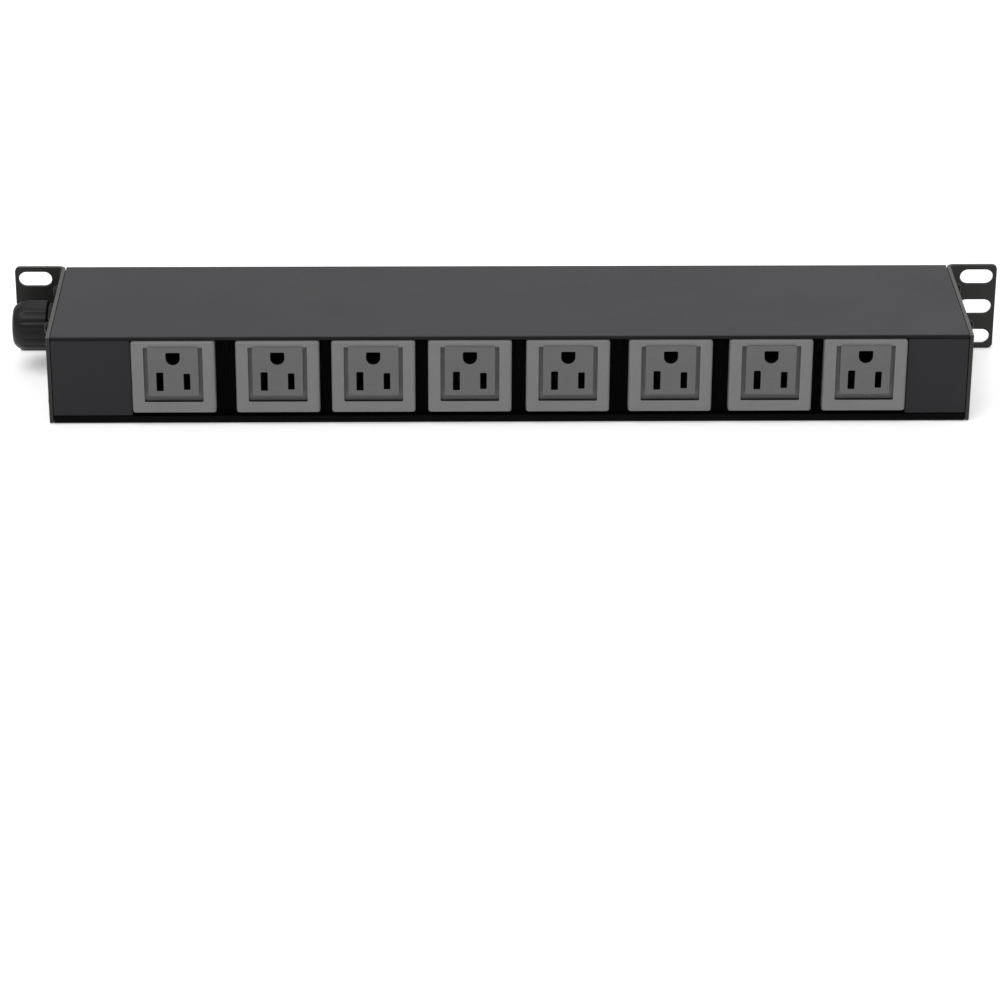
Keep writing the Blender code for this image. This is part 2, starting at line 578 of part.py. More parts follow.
right_edge = []
for i in range(9):
    t = i / 8
    right_edge.append((GUARD_RIGHT + GUARD_BULGE * math.sin(math.pi * t), GUARD_LOW + (GUARD_HIGH - GUARD_LOW) * t))
guard_outline = [(GUARD_LEFT, GUARD_LOW)] + right_edge + [(GUARD_LEFT, GUARD_HIGH)]
inner_right = []
for i in range(9):
    t = i / 8
    inner_right.append((GUARD_RIGHT - GUARD_WALL + GUARD_BULGE * math.sin(math.pi * t),
                        GUARD_LOW + GUARD_WALL + (GUARD_HIGH - GUARD_LOW - 2 * GUARD_WALL) * t))
inner_outline = ([(GUARD_LEFT + GUARD_WALL, GUARD_LOW + GUARD_WALL)] + inner_right
                 + [(GUARD_LEFT + GUARD_WALL, GUARD_HIGH - GUARD_WALL)])
cover = prism("guard_cover", guard_outline, "Y", GUARD_FRONT, -2.0, M_CLEAR)
cut(cover, cutters([(inner_outline, "Y", GUARD_FRONT + GUARD_WALL, 0.0)]))
for z0, z1 in ((13.8, 17.2), (30.6, 34.0)):
    join(cover, prism("lug", circle(HINGE_X, HINGE_DEPTH, KNUCKLE_RADIUS, 16), "Z", z0, z1),
         box("arm", HINGE_X, GUARD_LEFT + 0.8, HINGE_DEPTH - 1.2, HINGE_DEPTH + 1.0, z0, z1))
cut(cover, cutters([(circle(HINGE_X, HINGE_DEPTH, PIN_RADIUS + 0.3, 12), "Z", 5.0, 40.0)]))
move_origin(cover, at(HINGE_X, HINGE_DEPTH, SWITCH_Z))
prism("guard_hinge_pin", circle(HINGE_X, HINGE_DEPTH, PIN_RADIUS, 10), "Z", 9.8, 37.9, M_PIN)

# ---------------------------------------------------------------- breaker
breaker = box("breaker_body", BREAKER_X - 7.6, BREAKER_X + 7.6, 5.0, 32.0, BREAKER_Z - 13.0, BREAKER_Z + 13.0, M_SWITCH)
join(breaker, prism("bush", circle(BREAKER_X, BREAKER_Z, 7.2, 24), "Y", -1.8, 8.0))
cut(breaker, cutters([(circle(BREAKER_X, BREAKER_Z, BUTTON_RADIUS + 0.35, 24), "Y", -4.0, 14.0),
                      (rect(BREAKER_X - 0.75, BREAKER_X + 0.75, BREAKER_Z - 10.5, BREAKER_Z - 3.5), "Y", 26.0, 34.0),
                      (rect(BREAKER_X - 0.75, BREAKER_X + 0.75, BREAKER_Z + 3.5, BREAKER_Z + 10.5), "Y", 26.0, 34.0)]))
turned("breaker_bezel", [(7.55, 0.1), (7.55, -1.5), (8.1, -2.1), (8.9, -1.8), (9.3, -1.0), (9.3, 0.1)],
       BREAKER_X, BREAKER_Z, "Y", 24, M_PANEL)
button = turned("breaker_button", [(0.0, 11.0), (BUTTON_RADIUS, 11.0), (BUTTON_RADIUS, -3.4), (4.5, -3.9),
                                   (3.4, -4.25), (0.0, -4.4)], BREAKER_X, BREAKER_Z, "Y", 24, M_BUTTON)
move_origin(button, at(BREAKER_X, 0.0, BREAKER_Z))
box("breaker_terminal_line", BREAKER_X - 0.4, BREAKER_X + 0.4, 26.4, 40.0, BREAKER_Z - 10.1, BREAKER_Z - 3.9, M_BRASS)
box("breaker_terminal_load", BREAKER_X - 0.4, BREAKER_X + 0.4, 26.4, 40.0, BREAKER_Z + 3.9, BREAKER_Z + 10.1, M_BRASS)

# ---------------------------------------------------------------- cable gland
OUT = BODY_WIDTH / 2
turned("gland_body", [(5.2, 204.0), (7.8, 204.0), (7.8, OUT + GAP), (11.0, OUT + GAP), (11.4, OUT + 1.0),
                      (11.4, OUT + 4.6), (11.0, OUT + 5.2), (8.2, OUT + 5.2), (8.2, 230.8), (5.2, 230.8)],
       GLAND_DEPTH, GLAND_Z, "X", 24, M_GLAND)
turned("gland_locknut", [(8.15, 211.6), (10.8, 211.6), (10.8, END_INNER - GAP), (8.15, END_INNER - GAP)],
       GLAND_DEPTH, GLAND_Z, "X", 12, M_GLAND)
turned("gland_seal", [(5.0, 231.2), (8.2, 231.2), (8.2, 235.6), (7.0, 236.4), (5.0, 236.4)],
       GLAND_DEPTH, GLAND_Z, "X", 24, M_SEAL)
turned("gland_dome_nut", [(8.6, OUT + 5.6), (GLAND_RADIUS - 0.3, OUT + 5.6), (GLAND_RADIUS, OUT + 6.2),
                          (GLAND_RADIUS, 233.2), (11.9, 235.6), (10.8, 238.2), (9.0, 240.0), (7.4, GLAND_TIP),
                          (5.8, GLAND_TIP), (5.4, 239.6), (5.4, 236.8), (8.6, 236.8)],
       GLAND_DEPTH, GLAND_Z, "X", 24, M_GLAND)

# ---------------------------------------------------------------- terminal block and ground stud
block = box("terminal_block", 160.0, 176.0, 22.0, 50.0, 2.1, 16.0, M_BLOCK)
cut(block, cutters([(circle(168.0, d, 2.4, 10), "Z", 10.0, 20.0) for d in (27.0, 36.0, 45.0)]))
cut(block, cutters([(circle(d, 7.0, 2.2, 10), "X", 171.0, 180.0) for d in (27.0, 36.0, 45.0)]))
turned("ground_stud", [(0.0, 2.1), (4.2, 2.1), (4.2, 3.2), (1.9, 3.2), (1.9, 13.2), (1.5, 13.8), (0.0, 13.8)],
       110.0, 36.0, "Z", 12, M_PIN)
turned("ground_nut", [(2.2, 5.6), (4.2, 5.6), (4.2, 8.8), (2.2, 8.8)], 110.0, 36.0, "Z", 6, M_PIN)

# ---------------------------------------------------------------- wires
tube("wire_line_feed", [(159.6, 45, 8), (154, 45, 8), (140, 47, 8), (110, 48, 8), (40, 48, 8), (-50, 48, 8),
                        (-115, 48, 8), (-131, 48.5, 9.5), (-138.5, 47, 12.5), (-140.2, 43.5, 14), (-140.2, 40.4, 14)],
     WIRE_DIAMETER, M_LINE)
tube("wire_line_to_switch", [(-140.2, 40.4, 28), (-140.2, 44, 28.5), (-146, 48, 31), (-160, 49, 33),
                             (-170, 46.5, 31.5), (-175.4, 42.5, 27), (-175.8, 39.5, 24.5), (-175.8, 36.4, 24)],
     2.8, M_LINE)
tube("wire_line_to_busbar", [(-169.6, 36.4, 24), (-169.5, 40, 23), (-167.5, 45, 19.5), (-164.5, 50, 19.2),
                             (-162.5, 54.5, 23.4), (-162, 57.6, 24.5)], 2.8, M_LINE)
tube("wire_neutral", [(159.6, 36, 8), (152, 36, 8), (143.5, 38.5, 10), (140, 45, 17), (140, 52, 20.5),
                      (140, 57.6, 20.5)], 2.8, M_NEUTRAL)
tube("wire_ground", [(159.6, 27, 8), (148, 27, 9), (134, 30, 15), (126, 38, 25), (124, 48, 34), (124, 57.6, 34.6)],
     2.8, M_GROUND)
tube("wire_ground_bond", [(110, 40.8, 7.2), (110, 43.2, 7.4), (109, 45, 12), (104, 47, 20), (100, 50, 28),
                          (99, 53, 34), (99, 57.6, 34.6)], 2.4, M_GROUND)
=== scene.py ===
"""Looks of the rack power strip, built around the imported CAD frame."""

import math

import bmesh
import bpy
from mathutils import Matrix, Vector


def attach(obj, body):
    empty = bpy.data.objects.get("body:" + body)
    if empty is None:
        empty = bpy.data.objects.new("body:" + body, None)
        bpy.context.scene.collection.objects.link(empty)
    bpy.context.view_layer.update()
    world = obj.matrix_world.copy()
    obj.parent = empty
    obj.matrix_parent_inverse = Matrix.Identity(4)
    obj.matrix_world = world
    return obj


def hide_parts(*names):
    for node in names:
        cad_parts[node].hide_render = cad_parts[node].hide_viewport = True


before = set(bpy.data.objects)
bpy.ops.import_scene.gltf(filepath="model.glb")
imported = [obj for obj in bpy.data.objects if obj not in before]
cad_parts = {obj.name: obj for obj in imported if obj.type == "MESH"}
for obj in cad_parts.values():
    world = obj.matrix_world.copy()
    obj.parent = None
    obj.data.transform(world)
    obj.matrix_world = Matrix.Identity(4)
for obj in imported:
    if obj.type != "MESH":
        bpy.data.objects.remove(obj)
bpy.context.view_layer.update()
MM = 0.001
FRONT_PLANE = -41.9


# ============================================================ camera
def setup_camera():
    f, pitch, yaw, roll = 3.6515, math.radians(25.538), math.radians(-1.139), math.radians(0.283)
    dist, tx, tz = 1849.3, -2.92, -83.33
    c, s = math.cos(yaw), math.sin(yaw)
    ct, st = math.cos(pitch), math.sin(pitch)
    right = Vector((c, s, 0.0))
    fwd = Vector((-s * ct, c * ct, -st))
    up = Vector((-s * st, c * st, ct))
    cr, sr = math.cos(roll), math.sin(roll)
    rs = right * cr + up * sr
    us = up * cr - right * sr
    pos = Vector((tx, 0.0, tz)) - fwd * dist

    def turn(v):
        return Vector((-v.x, -v.y, v.z))
    rs, us, fw = turn(rs), turn(us), turn(fwd)
    pos = Vector((-pos.x, FRONT_PLANE - pos.y, pos.z)) * MM
    cam = bpy.data.cameras.new("Camera")
    cam.sensor_fit = "HORIZONTAL"
    cam.sensor_width = 36.0
    cam.lens = 36.0 * f
    cam.clip_start = 0.05
    cam.clip_end = 20.0
    ob = bpy.data.objects.new("Camera", cam)
    bpy.context.scene.collection.objects.link(ob)
    m = Matrix((rs, us, -fw)).transposed().to_4x4()
    m.translation = pos
    ob.matrix_world = m @ Matrix.Rotation(-0.00019, 4, "X")
    bpy.context.scene.camera = ob


setup_camera()


# ============================================================ node materials
def rgb(hex_code):
    out = []
    for i in (0, 2, 4):
        v = int(hex_code[i:i + 2], 16) / 255
        out.append(v / 12.92 if v <= 0.04045 else ((v + 0.055) / 1.055) ** 2.4)
    return tuple(out)


class Nodes:
    """Short names for building a node tree."""

    def __init__(self, name):
        self.m = bpy.data.materials.new(name)
        self.m.use_nodes = True
        self.t = self.m.node_tree
        self.p = self.t.nodes["Principled BSDF"]
        self.coord = self.add("ShaderNodeTexCoord").outputs["Object"]

    def add(self, kind, **props):
        n = self.t.nodes.new(kind)
        for k, v in props.items():
            setattr(n, k, v)
        return n

    def link(self, a, b):
        self.t.links.new(a, b)

    def noise(self, scale, detail=3.0, rough=0.55, stretch=None, distortion=0.0):
        n = self.add("ShaderNodeTexNoise")
        n.inputs["Scale"].default_value = scale
        n.inputs["Detail"].default_value = detail
        n.inputs["Roughness"].default_value = rough
        n.inputs["Distortion"].default_value = distortion
        if stretch:
            mp = self.add("ShaderNodeMapping")
            mp.inputs["Scale"].default_value = stretch
            self.link(self.coord, mp.inputs["Vector"])
            self.link(mp.outputs["Vector"], n.inputs["Vector"])
        else:
            self.link(self.coord, n.inputs["Vector"])
        return n.outputs["Fac"]

    def voronoi(self, scale, feature="F1"):
        n = self.add("ShaderNodeTexVoronoi", feature=feature)
        n.inputs["Scale"].default_value = scale
        self.link(self.coord, n.inputs["Vector"])
        return n.outputs["Distance"]

    def ramp(self, value, stops):
        n = self.add("ShaderNodeValToRGB")
        while len(n.color_ramp.elements) > len(stops):
            n.color_ramp.elements.remove(n.color_ramp.elements[-1])
        while len(n.color_ramp.elements) < len(stops):
            n.color_ramp.elements.new(0.5)
        for e, (pos, col) in zip(n.color_ramp.elements, stops):
            e.position = pos
            e.color = (*col, 1.0) if len(col) == 3 else col
        self.link(value, n.inputs["Fac"])
        return n.outputs["Color"]

    def span(self, value, a, b, lo=0.0, hi=1.0):
        n = self.add("ShaderNodeMapRange")
        n.inputs["From Min"].default_value = lo
        n.inputs["From Max"].default_value = hi
        n.inputs["To Min"].default_value = a
        n.inputs["To Max"].default_value = b
        self.link(value, n.inputs["Value"])
        return n.outputs["Result"]

    def maths(self, op, a, b=None):
        n = self.add("ShaderNodeMath", operation=op)
        for i, v in enumerate((a, b)):
            if v is None:
                continue
            if isinstance(v, (int, float)):
                n.inputs[i].default_value = v
            else:
                self.link(v, n.inputs[i])
        return n.outputs["Value"]

    def mix(self, fac, a, b, kind="MIX"):
        n = self.add("ShaderNodeMix", data_type="RGBA", blend_type=kind)
        if isinstance(fac, (int, float)):
            n.inputs["Factor"].default_value = fac
        else:
            self.link(fac, n.inputs["Factor"])
        for key, v in (("A", a), ("B", b)):
            sock = [i for i in n.inputs if i.name == key and i.type == "RGBA"][0]
            if isinstance(v, tuple):
                sock.default_value = (*v, 1.0) if len(v) == 3 else v
            else:
                self.link(v, sock)
        return [o for o in n.outputs if o.type == "RGBA"][0]

    def edge(self, radius=0.0006, low=0.90, high=0.995, samples=4):
        """1 at sharp edges, 0 on flats."""
        bev = self.add("ShaderNodeBevel", samples=samples)
        bev.inputs["Radius"].default_value = radius
        geo = self.add("ShaderNodeNewGeometry")
        dot = self.add("ShaderNodeVectorMath", operation="DOT_PRODUCT")
        self.link(bev.outputs["Normal"], dot.inputs[0])
        self.link(geo.outputs["Normal"], dot.inputs[1])
        return self.span(dot.outputs["Value"], 1.0, 0.0, low, high)

    def bump(self, height, strength, distance, normal=None):
        n = self.add("ShaderNodeBump")
        n.inputs["Strength"].default_value = strength
        n.inputs["Distance"].default_value = distance
        self.link(height, n.inputs["Height"])
        if normal is not None:
            self.link(normal, n.inputs["Normal"])
        return n.outputs["Normal"]

    def set(self, **values):
        names = {"color": "Base Color", "rough": "Roughness", "metal": "Metallic", "normal": "Normal",
                 "spec": "Specular IOR Level", "coat": "Coat Weight", "coat_rough": "Coat Roughness",
                 "trans": "Transmission Weight", "ior": "IOR", "glow": "Emission Color",
                 "glow_strength": "Emission Strength", "alpha": "Alpha"}
        for k, v in values.items():
            s = self.p.inputs[names[k]]
            if isinstance(v, (int, float)):
                s.default_value = v
            elif isinstance(v, tuple):
                s.default_value = (*v, 1.0) if len(v) == 3 else v
            else:
                self.link(v, s)
        return self.m


def scaled(c, k):
    return tuple(min(1.0, v * k) for v in c)


def powder_coat(name, colour, rough=0.46, spec=0.35, vary=0.10, wear_and_highlight=0.18, wear_and_highlight_colour=None):
    """Sprayed powder paint: fine orange peel, faint clouding, edges lightened as rubbed wear and painted highlight, a
    few dust specks.
    """
    n = Nodes(name)
    cloud = n.noise(26.0, 4.0, 0.6)
    fine = n.noise(950.0, 2.0, 0.5)
    base = n.mix(n.span(cloud, 0.0, 1.0, 0.3, 0.7), scaled(colour, 1 - vary), scaled(colour, 1 + vary))
    base = n.mix(n.span(fine, 0.0, 0.35, 0.45, 0.75), base, scaled(colour, 1.35))
    # Edges lightened through a bevel mask: rubbed wear and painted highlight.
    rub_and_highlight = n.maths("MULTIPLY", n.edge(0.0005), n.span(n.noise(140.0, 3.0), 0.1, 1.0, 0.35, 0.65))
    base = n.mix(n.maths("MULTIPLY", rub_and_highlight, wear_and_highlight), base, wear_and_highlight_colour or scaled(colour, 2.6))
    speck = n.span(n.voronoi(420.0), 1.0, 0.0, 0.05, 0.11)
    base = n.mix(n.maths("MULTIPLY", speck, 0.10), base, scaled(colour, 2.2))
    r = n.maths("ADD", n.span(cloud, rough - 0.05, rough + 0.05, 0.3, 0.7),
                n.span(fine, -0.03, 0.03, 0.3, 0.7))
    peel = n.noise(1500.0, 2.0, 0.5)
    nor = n.bump(peel, 0.16, 0.00012)
    nor = n.bump(n.noise(60.0, 2.0), 0.05, 0.0006, nor)
    return n.set(color=base, rough=r, spec=spec, normal=nor)


def moulded(name, colour, rough=0.5, spec=0.3, grain=1800.0, grain_depth=0.2, vary=0.06, wear_and_highlight=0.2, glow=None):
    """Injection moulded plastic: spark-eroded grain, faint flow marks, edges lightened as handling wear and painted
    highlight.
    """
    n = Nodes(name)
    flow = n.noise(34.0, 3.0, 0.5, stretch=(1.0, 1.0, 2.4), distortion=0.8)
    tint = n.noise(240.0, 2.0, 0.5)
    base = n.mix(n.span(flow, 0.0, 1.0, 0.3, 0.7), scaled(colour, 1 - vary), scaled(colour, 1 + vary))
    base = n.mix(n.span(tint, 0.0, 0.3, 0.4, 0.7), base, scaled(colour, 1.16))
    # Edges lightened through a bevel mask: handling wear and painted highlight.
    rub_and_highlight = n.maths("MULTIPLY", n.edge(0.00045), n.span(n.noise(210.0, 2.0), 0.25, 1.0, 0.35, 0.6))
    base = n.mix(n.maths("MULTIPLY", rub_and_highlight, wear_and_highlight), base, scaled(colour, 1.8))
    r = n.maths("ADD", n.span(flow, rough - 0.05, rough + 0.05, 0.3, 0.7), n.span(tint, -0.03, 0.03, 0.3, 0.7))
    nor = n.bump(n.noise(grain, 2.0, 0.6), grain_depth, 0.0001)
    nor = n.bump(n.noise(85.0, 2.0), 0.04, 0.0005, nor)
    return n.set(color=base, rough=r, spec=spec, normal=nor)


def metal(name, colour, rough=0.3, stretch=(1.0, 1.0, 14.0), tarnish=None, scale=700.0):
    """Worked metal: drawn or turned streaks, smudges and a little tarnish."""
    n = Nodes(name)
    streak = n.noise(scale, 3.0, 0.6, stretch=stretch)
    smudge = n.noise(90.0, 3.0, 0.6)
    base = n.mix(n.span(smudge, 0.0, 0.55, 0.42, 0.68), colour, tarnish or scaled(colour, 0.6))
    base = n.mix(n.span(streak, 0.0, 0.25, 0.35, 0.65), base, scaled(colour, 1.2))
    r = n.maths("ADD", n.span(streak, rough - 0.07, rough + 0.07, 0.3, 0.7), n.span(smudge, -0.04, 0.08, 0.35, 0.65))
    return n.set(color=base, rough=r, metal=1.0, normal=n.bump(streak, 0.08, 0.00005))


SHELL = powder_coat("Charcoal_powder_coat", rgb("303033"), rough=0.47, spec=0.30, vary=0.07)
# Darker copy of the charcoal coat: painted shade on the front, rear and underside faces of the top shell.
SHELL_SIDE_SHADE = powder_coat("Charcoal_side_painted_shade", rgb("161618"), rough=0.55, spec=0.12, vary=0.12, wear_and_highlight=0.10)
# Both bottom shell materials are near black as painted shade under the outlets; the darker one shades its front, rear
# and inner faces.
LOWER_EDGE = powder_coat("Lower_lip_shade", rgb("050505"), rough=0.65, spec=0.05, vary=0.12, wear_and_highlight=0.05)
LOWER_SHADE = powder_coat("Lower_sheet_painted_shade", rgb("0d0d0e"), rough=0.55, spec=0.08, vary=0.10, wear_and_highlight=0.12)
EAR = powder_coat("Ear_powder_coat", rgb("2a2a29"), rough=0.50, spec=0.22, vary=0.08, wear_and_highlight=0.3)
# Lighter copies of the ear coat: painted highlight on the bend facing front and on the top edge.
EAR_BEND_HIGHLIGHT = powder_coat("Ear_bend_painted_highlight", rgb("3a3a39"), rough=0.44, spec=0.4, vary=0.10, wear_and_highlight=0.3)
EAR_TOP_HIGHLIGHT = powder_coat("Ear_top_edge_painted_highlight", rgb("4c4c4a"), rough=0.44, spec=0.4, vary=0.14, wear_and_highlight=0.3)
PANEL = powder_coat("Panel_satin_black", rgb("1c1c1f"), rough=0.46, spec=0.22, vary=0.08, wear_and_highlight=0.2)
BLANK = powder_coat("Front_blank_satin", rgb("171512"), rough=0.42, spec=0.22, vary=0.08, wear_and_highlight=0.2)
# The outlet rims are lightened strongly at their edges: painted highlight with some wear.
OUTLET = moulded("Outlet_grey_moulding", rgb("6d6d6d"), rough=0.44, spec=0.40, vary=0.05, wear_and_highlight=0.5)
FACE = moulded("Outlet_face_moulding", rgb("5d5d5e"), rough=0.52, spec=0.30, vary=0.06, wear_and_highlight=0.15)
# Darker copies of the outlet plastic: painted shade in the bottom groove and the side grooves.
GROOVE = moulded("Outlet_groove_shade", rgb("222223"), rough=0.65, spec=0.15, vary=0.08, wear_and_highlight=0.0)
GROOVE_SIDE_SHADE = moulded("Outlet_side_groove_shade", rgb("646465"), rough=0.6, spec=0.2, vary=0.08, wear_and_highlight=0.0)
# Near-black sheet between the outlets: painted shade in the recessed gaps.
RECESS_SHADE = moulded("Recess_painted_shade", rgb("040404"), rough=0.85, spec=0.05, vary=0.2, wear_and_highlight=0.0)
# Near black inside the slots and the outlet body: painted shade.
CAVITY_SHADE = moulded("Slot_cavity_painted_shade", rgb("060606"), rough=0.9, spec=0.04, vary=0.2, wear_and_highlight=0.0)
BLACK = moulded("Black_moulding", rgb("131313"), rough=0.44, spec=0.32, vary=0.12, wear_and_highlight=0.25)
GLAND = moulded("Gland_nylon", rgb("0e0e0e"), rough=0.42, spec=0.24, vary=0.12, wear_and_highlight=0.25)
RUBBER = moulded("Seal_rubber", rgb("101010"), rough=0.85, spec=0.18, grain=900.0, grain_depth=0.35, wear_and_highlight=0.1)
SCREW = metal("Black_oxide_steel", rgb("242424"), rough=0.38, stretch=(1.0, 3.0, 3.0), tarnish=rgb("161616"))
STEEL = metal("Bright_steel", rgb("b0b0b4"), rough=0.26, tarnish=rgb("78787a"))
BRASS = metal("Contact_brass", rgb("a8894c"), rough=0.36, stretch=(6.0, 1.0, 1.0), tarnish=rgb("5c4520"))
# Brass darkened as painted shade, so the slots read black.
BUSBAR_SHADED = metal("Busbar_brass_painted_shade", rgb("40351f"), rough=0.45, stretch=(6.0, 1.0, 1.0), tarnish=rgb("241c10"))
BUTTON = moulded("Button_orange_red", rgb("c62e0e"), rough=0.36, spec=0.40, grain=1200.0, grain_depth=0.08, wear_and_highlight=0.35)
NYLON = moulded("Natural_nylon", rgb("d6d2c4"), rough=0.5, spec=0.4, wear_and_highlight=0.1)
W_BLACK = moulded("Wire_black", rgb("151515"), rough=0.45, spec=0.35, wear_and_highlight=0.0)
W_WHITE = moulded("Wire_white", rgb("dcdcd6"), rough=0.45, spec=0.4, wear_and_highlight=0.0)
W_GREEN = moulded("Wire_green", rgb("1f7a34"), rough=0.45, spec=0.4, wear_and_highlight=0.0)


def clear_plastic(name="Guard_clear_moulding", frosted_highlight=False):
    """Clear moulded cover: smooth, with faint flow ripple and scuffs; the rim faces take a rougher, whitened copy as
    painted highlight.
    """
    n = Nodes(name)
    ripple = n.noise(55.0, 2.0, 0.5, distortion=0.6)
    scuff = n.span(n.noise(900.0, 3.0, 0.7, stretch=(1.0, 1.0, 9.0)), 0.0, 1.0, 0.60, 0.78)
    # Rim copy: rougher and whitened, a painted highlight on the rim faces.
    if frosted_highlight:
        base = n.mix(n.span(n.noise(240.0, 3.0, 0.6), 0.0, 1.0, 0.3, 0.7), rgb("dfe1e4"), rgb("b9bcc2"))
        r = n.maths("ADD", n.span(ripple, 0.16, 0.26, 0.3, 0.7), n.maths("MULTIPLY", scuff, 0.12))
        return n.set(color=base, rough=r, trans=0.62, ior=1.46, spec=0.5, normal=n.bump(ripple, 0.12, 0.0003))
    edge = n.edge(0.0008, 0.75, 0.99)
    base = n.mix(edge, rgb("f4f6f8"), rgb("e6ecf0"))
    r = n.maths("ADD", n.span(ripple, 0.02, 0.05, 0.3, 0.7), n.maths("MULTIPLY", scuff, 0.08))
    return n.set(color=base, rough=r, trans=1.0, ior=1.46, spec=0.25, normal=n.bump(ripple, 0.06, 0.0003))


def lit_red():
    """Translucent red rocker with a painted glow standing in for the lamp light behind it, varied by noise, and a
    painted pink highlight on its edges.
    """
    n = Nodes("Rocker_lit_red")
    blotch = n.noise(70.0, 2.0, 0.5)
    base = n.mix(n.span(blotch, 0.0, 1.0, 0.3, 0.7), rgb("9c0a0e"), rgb("ba1c20"))
    # Pink edges are painted highlight; the glow below is painted lamp light.
    base = n.mix(n.maths("MULTIPLY", n.edge(0.0006), 0.4), base, rgb("f08a80"))
    glow = n.mix(n.span(blotch, 0.2, 1.0, 0.3, 0.7), rgb("8c0a0e"), rgb("ff342c"))
    return n.set(color=base, rough=n.span(n.noise(400.0), 0.24, 0.36, 0.3, 0.7), spec=0.22, glow=glow,
                 glow_strength=0.35, normal=n.bump(n.noise(1300.0), 0.05, 0.0001))


def print_red():
    n = Nodes("Printed_red_ink")
    patch = n.noise(480.0, 3.0, 0.6)
    base = n.mix(n.span(patch, 0.0, 1.0, 0.35, 0.7), rgb("86000e"), rgb("a60818"))
    return n.set(color=base, rough=n.span(patch, 0.50, 0.64, 0.3, 0.7), spec=0.12,
                 normal=n.bump(patch, 0.1, 0.00005))


def lamp_glass():
    n = Nodes("Lamp_glass")
    swirl = n.noise(600.0, 2.0, 0.5, distortion=1.0)
    base = n.mix(n.span(swirl, 0.0, 1.0, 0.3, 0.7), rgb("ff9a66"), rgb("ffd0a8"))
    return n.set(color=base, rough=n.span(swirl, 0.05, 0.18, 0.3, 0.7), trans=0.5, glow=rgb("ff7040"),
                 glow_strength=1.2)


CLEAR = clear_plastic()
CLEAR_RIM_HIGHLIGHT = clear_plastic("Guard_frosted_rim_painted_highlight", True)
ROCKER = lit_red()
INK = print_red()
LAMP = lamp_glass()


# ============================================================ mesh helpers
def at(x, d, z):
    return Vector((x * MM, (FRONT_PLANE + d) * MM, z * MM))


def arc(cx, cy, r, a0, a1, n):
    return [(cx + r * math.cos(math.radians(a0 + (a1 - a0) * i / n)),
             cy + r * math.sin(math.radians(a0 + (a1 - a0) * i / n))) for i in range(n + 1)]


def rounded(u0, u1, v0, v1, r, n=6):
    return (arc(u1 - r, v0 + r, r, -90, 0, n) + arc(u1 - r, v1 - r, r, 0, 90, n)
            + arc(u0 + r, v1 - r, r, 90, 180, n) + arc(u0 + r, v0 + r, r, 180, 270, n))


def to_axis(axis, u, v, w):
    if axis == "X":
        return at(w, u, v)
    if axis == "Y":
        return at(u, w, v)
    return at(u, v, w)


def add_loft(bm, rows, axis):
    """rows: list of (outline, w) with equal point counts; closed at both ends."""
    rings = [[bm.verts.new(to_axis(axis, u, v, w)) for u, v in outline] for outline, w in rows]
    n = len(rings[0])
    bm.faces.new(rings[0])
    bm.faces.new(rings[-1][::-1])
    for a, b in zip(rings, rings[1:]):
        for i in range(n):
            j = (i + 1) % n
            bm.faces.new((a[j], a[i], b[i], b[j]))


def add_prism(bm, outline, axis, w0, w1):
    add_loft(bm, [(outline, w0), (outline, w1)], axis)


def make(name, bm, *mats):
    bmesh.ops.recalc_face_normals(bm, faces=bm.faces[:])
    me = bpy.data.meshes.new(name)
    bm.to_mesh(me)
    bm.free()
    for m in mats:
        me.materials.append(m)
    ob = bpy.data.objects.new(name, me)
    bpy.context.scene.collection.objects.link(ob)
    return ob


def prism(name, outline, axis, w0, w1, *mats):
    bm = bmesh.new()
    add_prism(bm, outline, axis, w0, w1)
    return make(name, bm, *mats)


def rect(u0, u1, v0, v1):
    return [(u0, v0), (u1, v0), (u1, v1), (u0, v1)]


def box(name, x0, x1, d0, d1, z0, z1, *mats):
    return prism(name, rect(x0, x1, z0, z1), "Y", d0, d1, *mats)


def circle(cu, cv, r, n=48, turn=0.5):
    return [(cu + r * math.cos(2 * math.pi * (i + turn) / n),
             cv + r * math.sin(2 * math.pi * (i + turn) / n)) for i in range(n)]


def add_turned(bm, profile, cu, cv, axis, n=64, ripple=None):
    rings = []
    for r, w in profile:
        if r < 1e-6:
            rings.append([bm.verts.new(to_axis(axis, cu, cv, w))])
        else:
            ring = []
            for i in range(n):
                a = 2 * math.pi * (i + 0.5) / n
                rr = r + (ripple(a, r, w) if ripple else 0.0)
                ring.append(bm.verts.new(to_axis(axis, cu + rr * math.cos(a), cv + rr * math.sin(a), w)))
            rings.append(ring)
    pairs = list(zip(rings, rings[1:]))
    if profile[0][0] > 1e-6:
        pairs.append((rings[-1], rings[0]))
    for a, b in pairs:
        for i in range(n):
            j = (i + 1) % n
            if len(a) == 1:
                bm.faces.new((a[0], b[i], b[j]))
            elif len(b) == 1:
                bm.faces.new((a[i], b[0], a[j]))
            else:
                bm.faces.new((a[i], b[i], b[j], a[j]))


def turned(name, profile, cu, cv, axis, mat, n=64, ripple=None):
    bm = bmesh.new()
    add_turned(bm, profile, cu, cv, axis, n, ripple)
    return make(name, bm, mat)


def bake_mods(ob):
    bpy.context.view_layer.update()
    graph = bpy.context.evaluated_depsgraph_get()
    new = bpy.data.meshes.new_from_object(ob.evaluated_get(graph))
    ob.modifiers.clear()
    old = ob.data
    ob.data = new
    bpy.data.meshes.remove(old)
    new.name = ob.name
    return ob


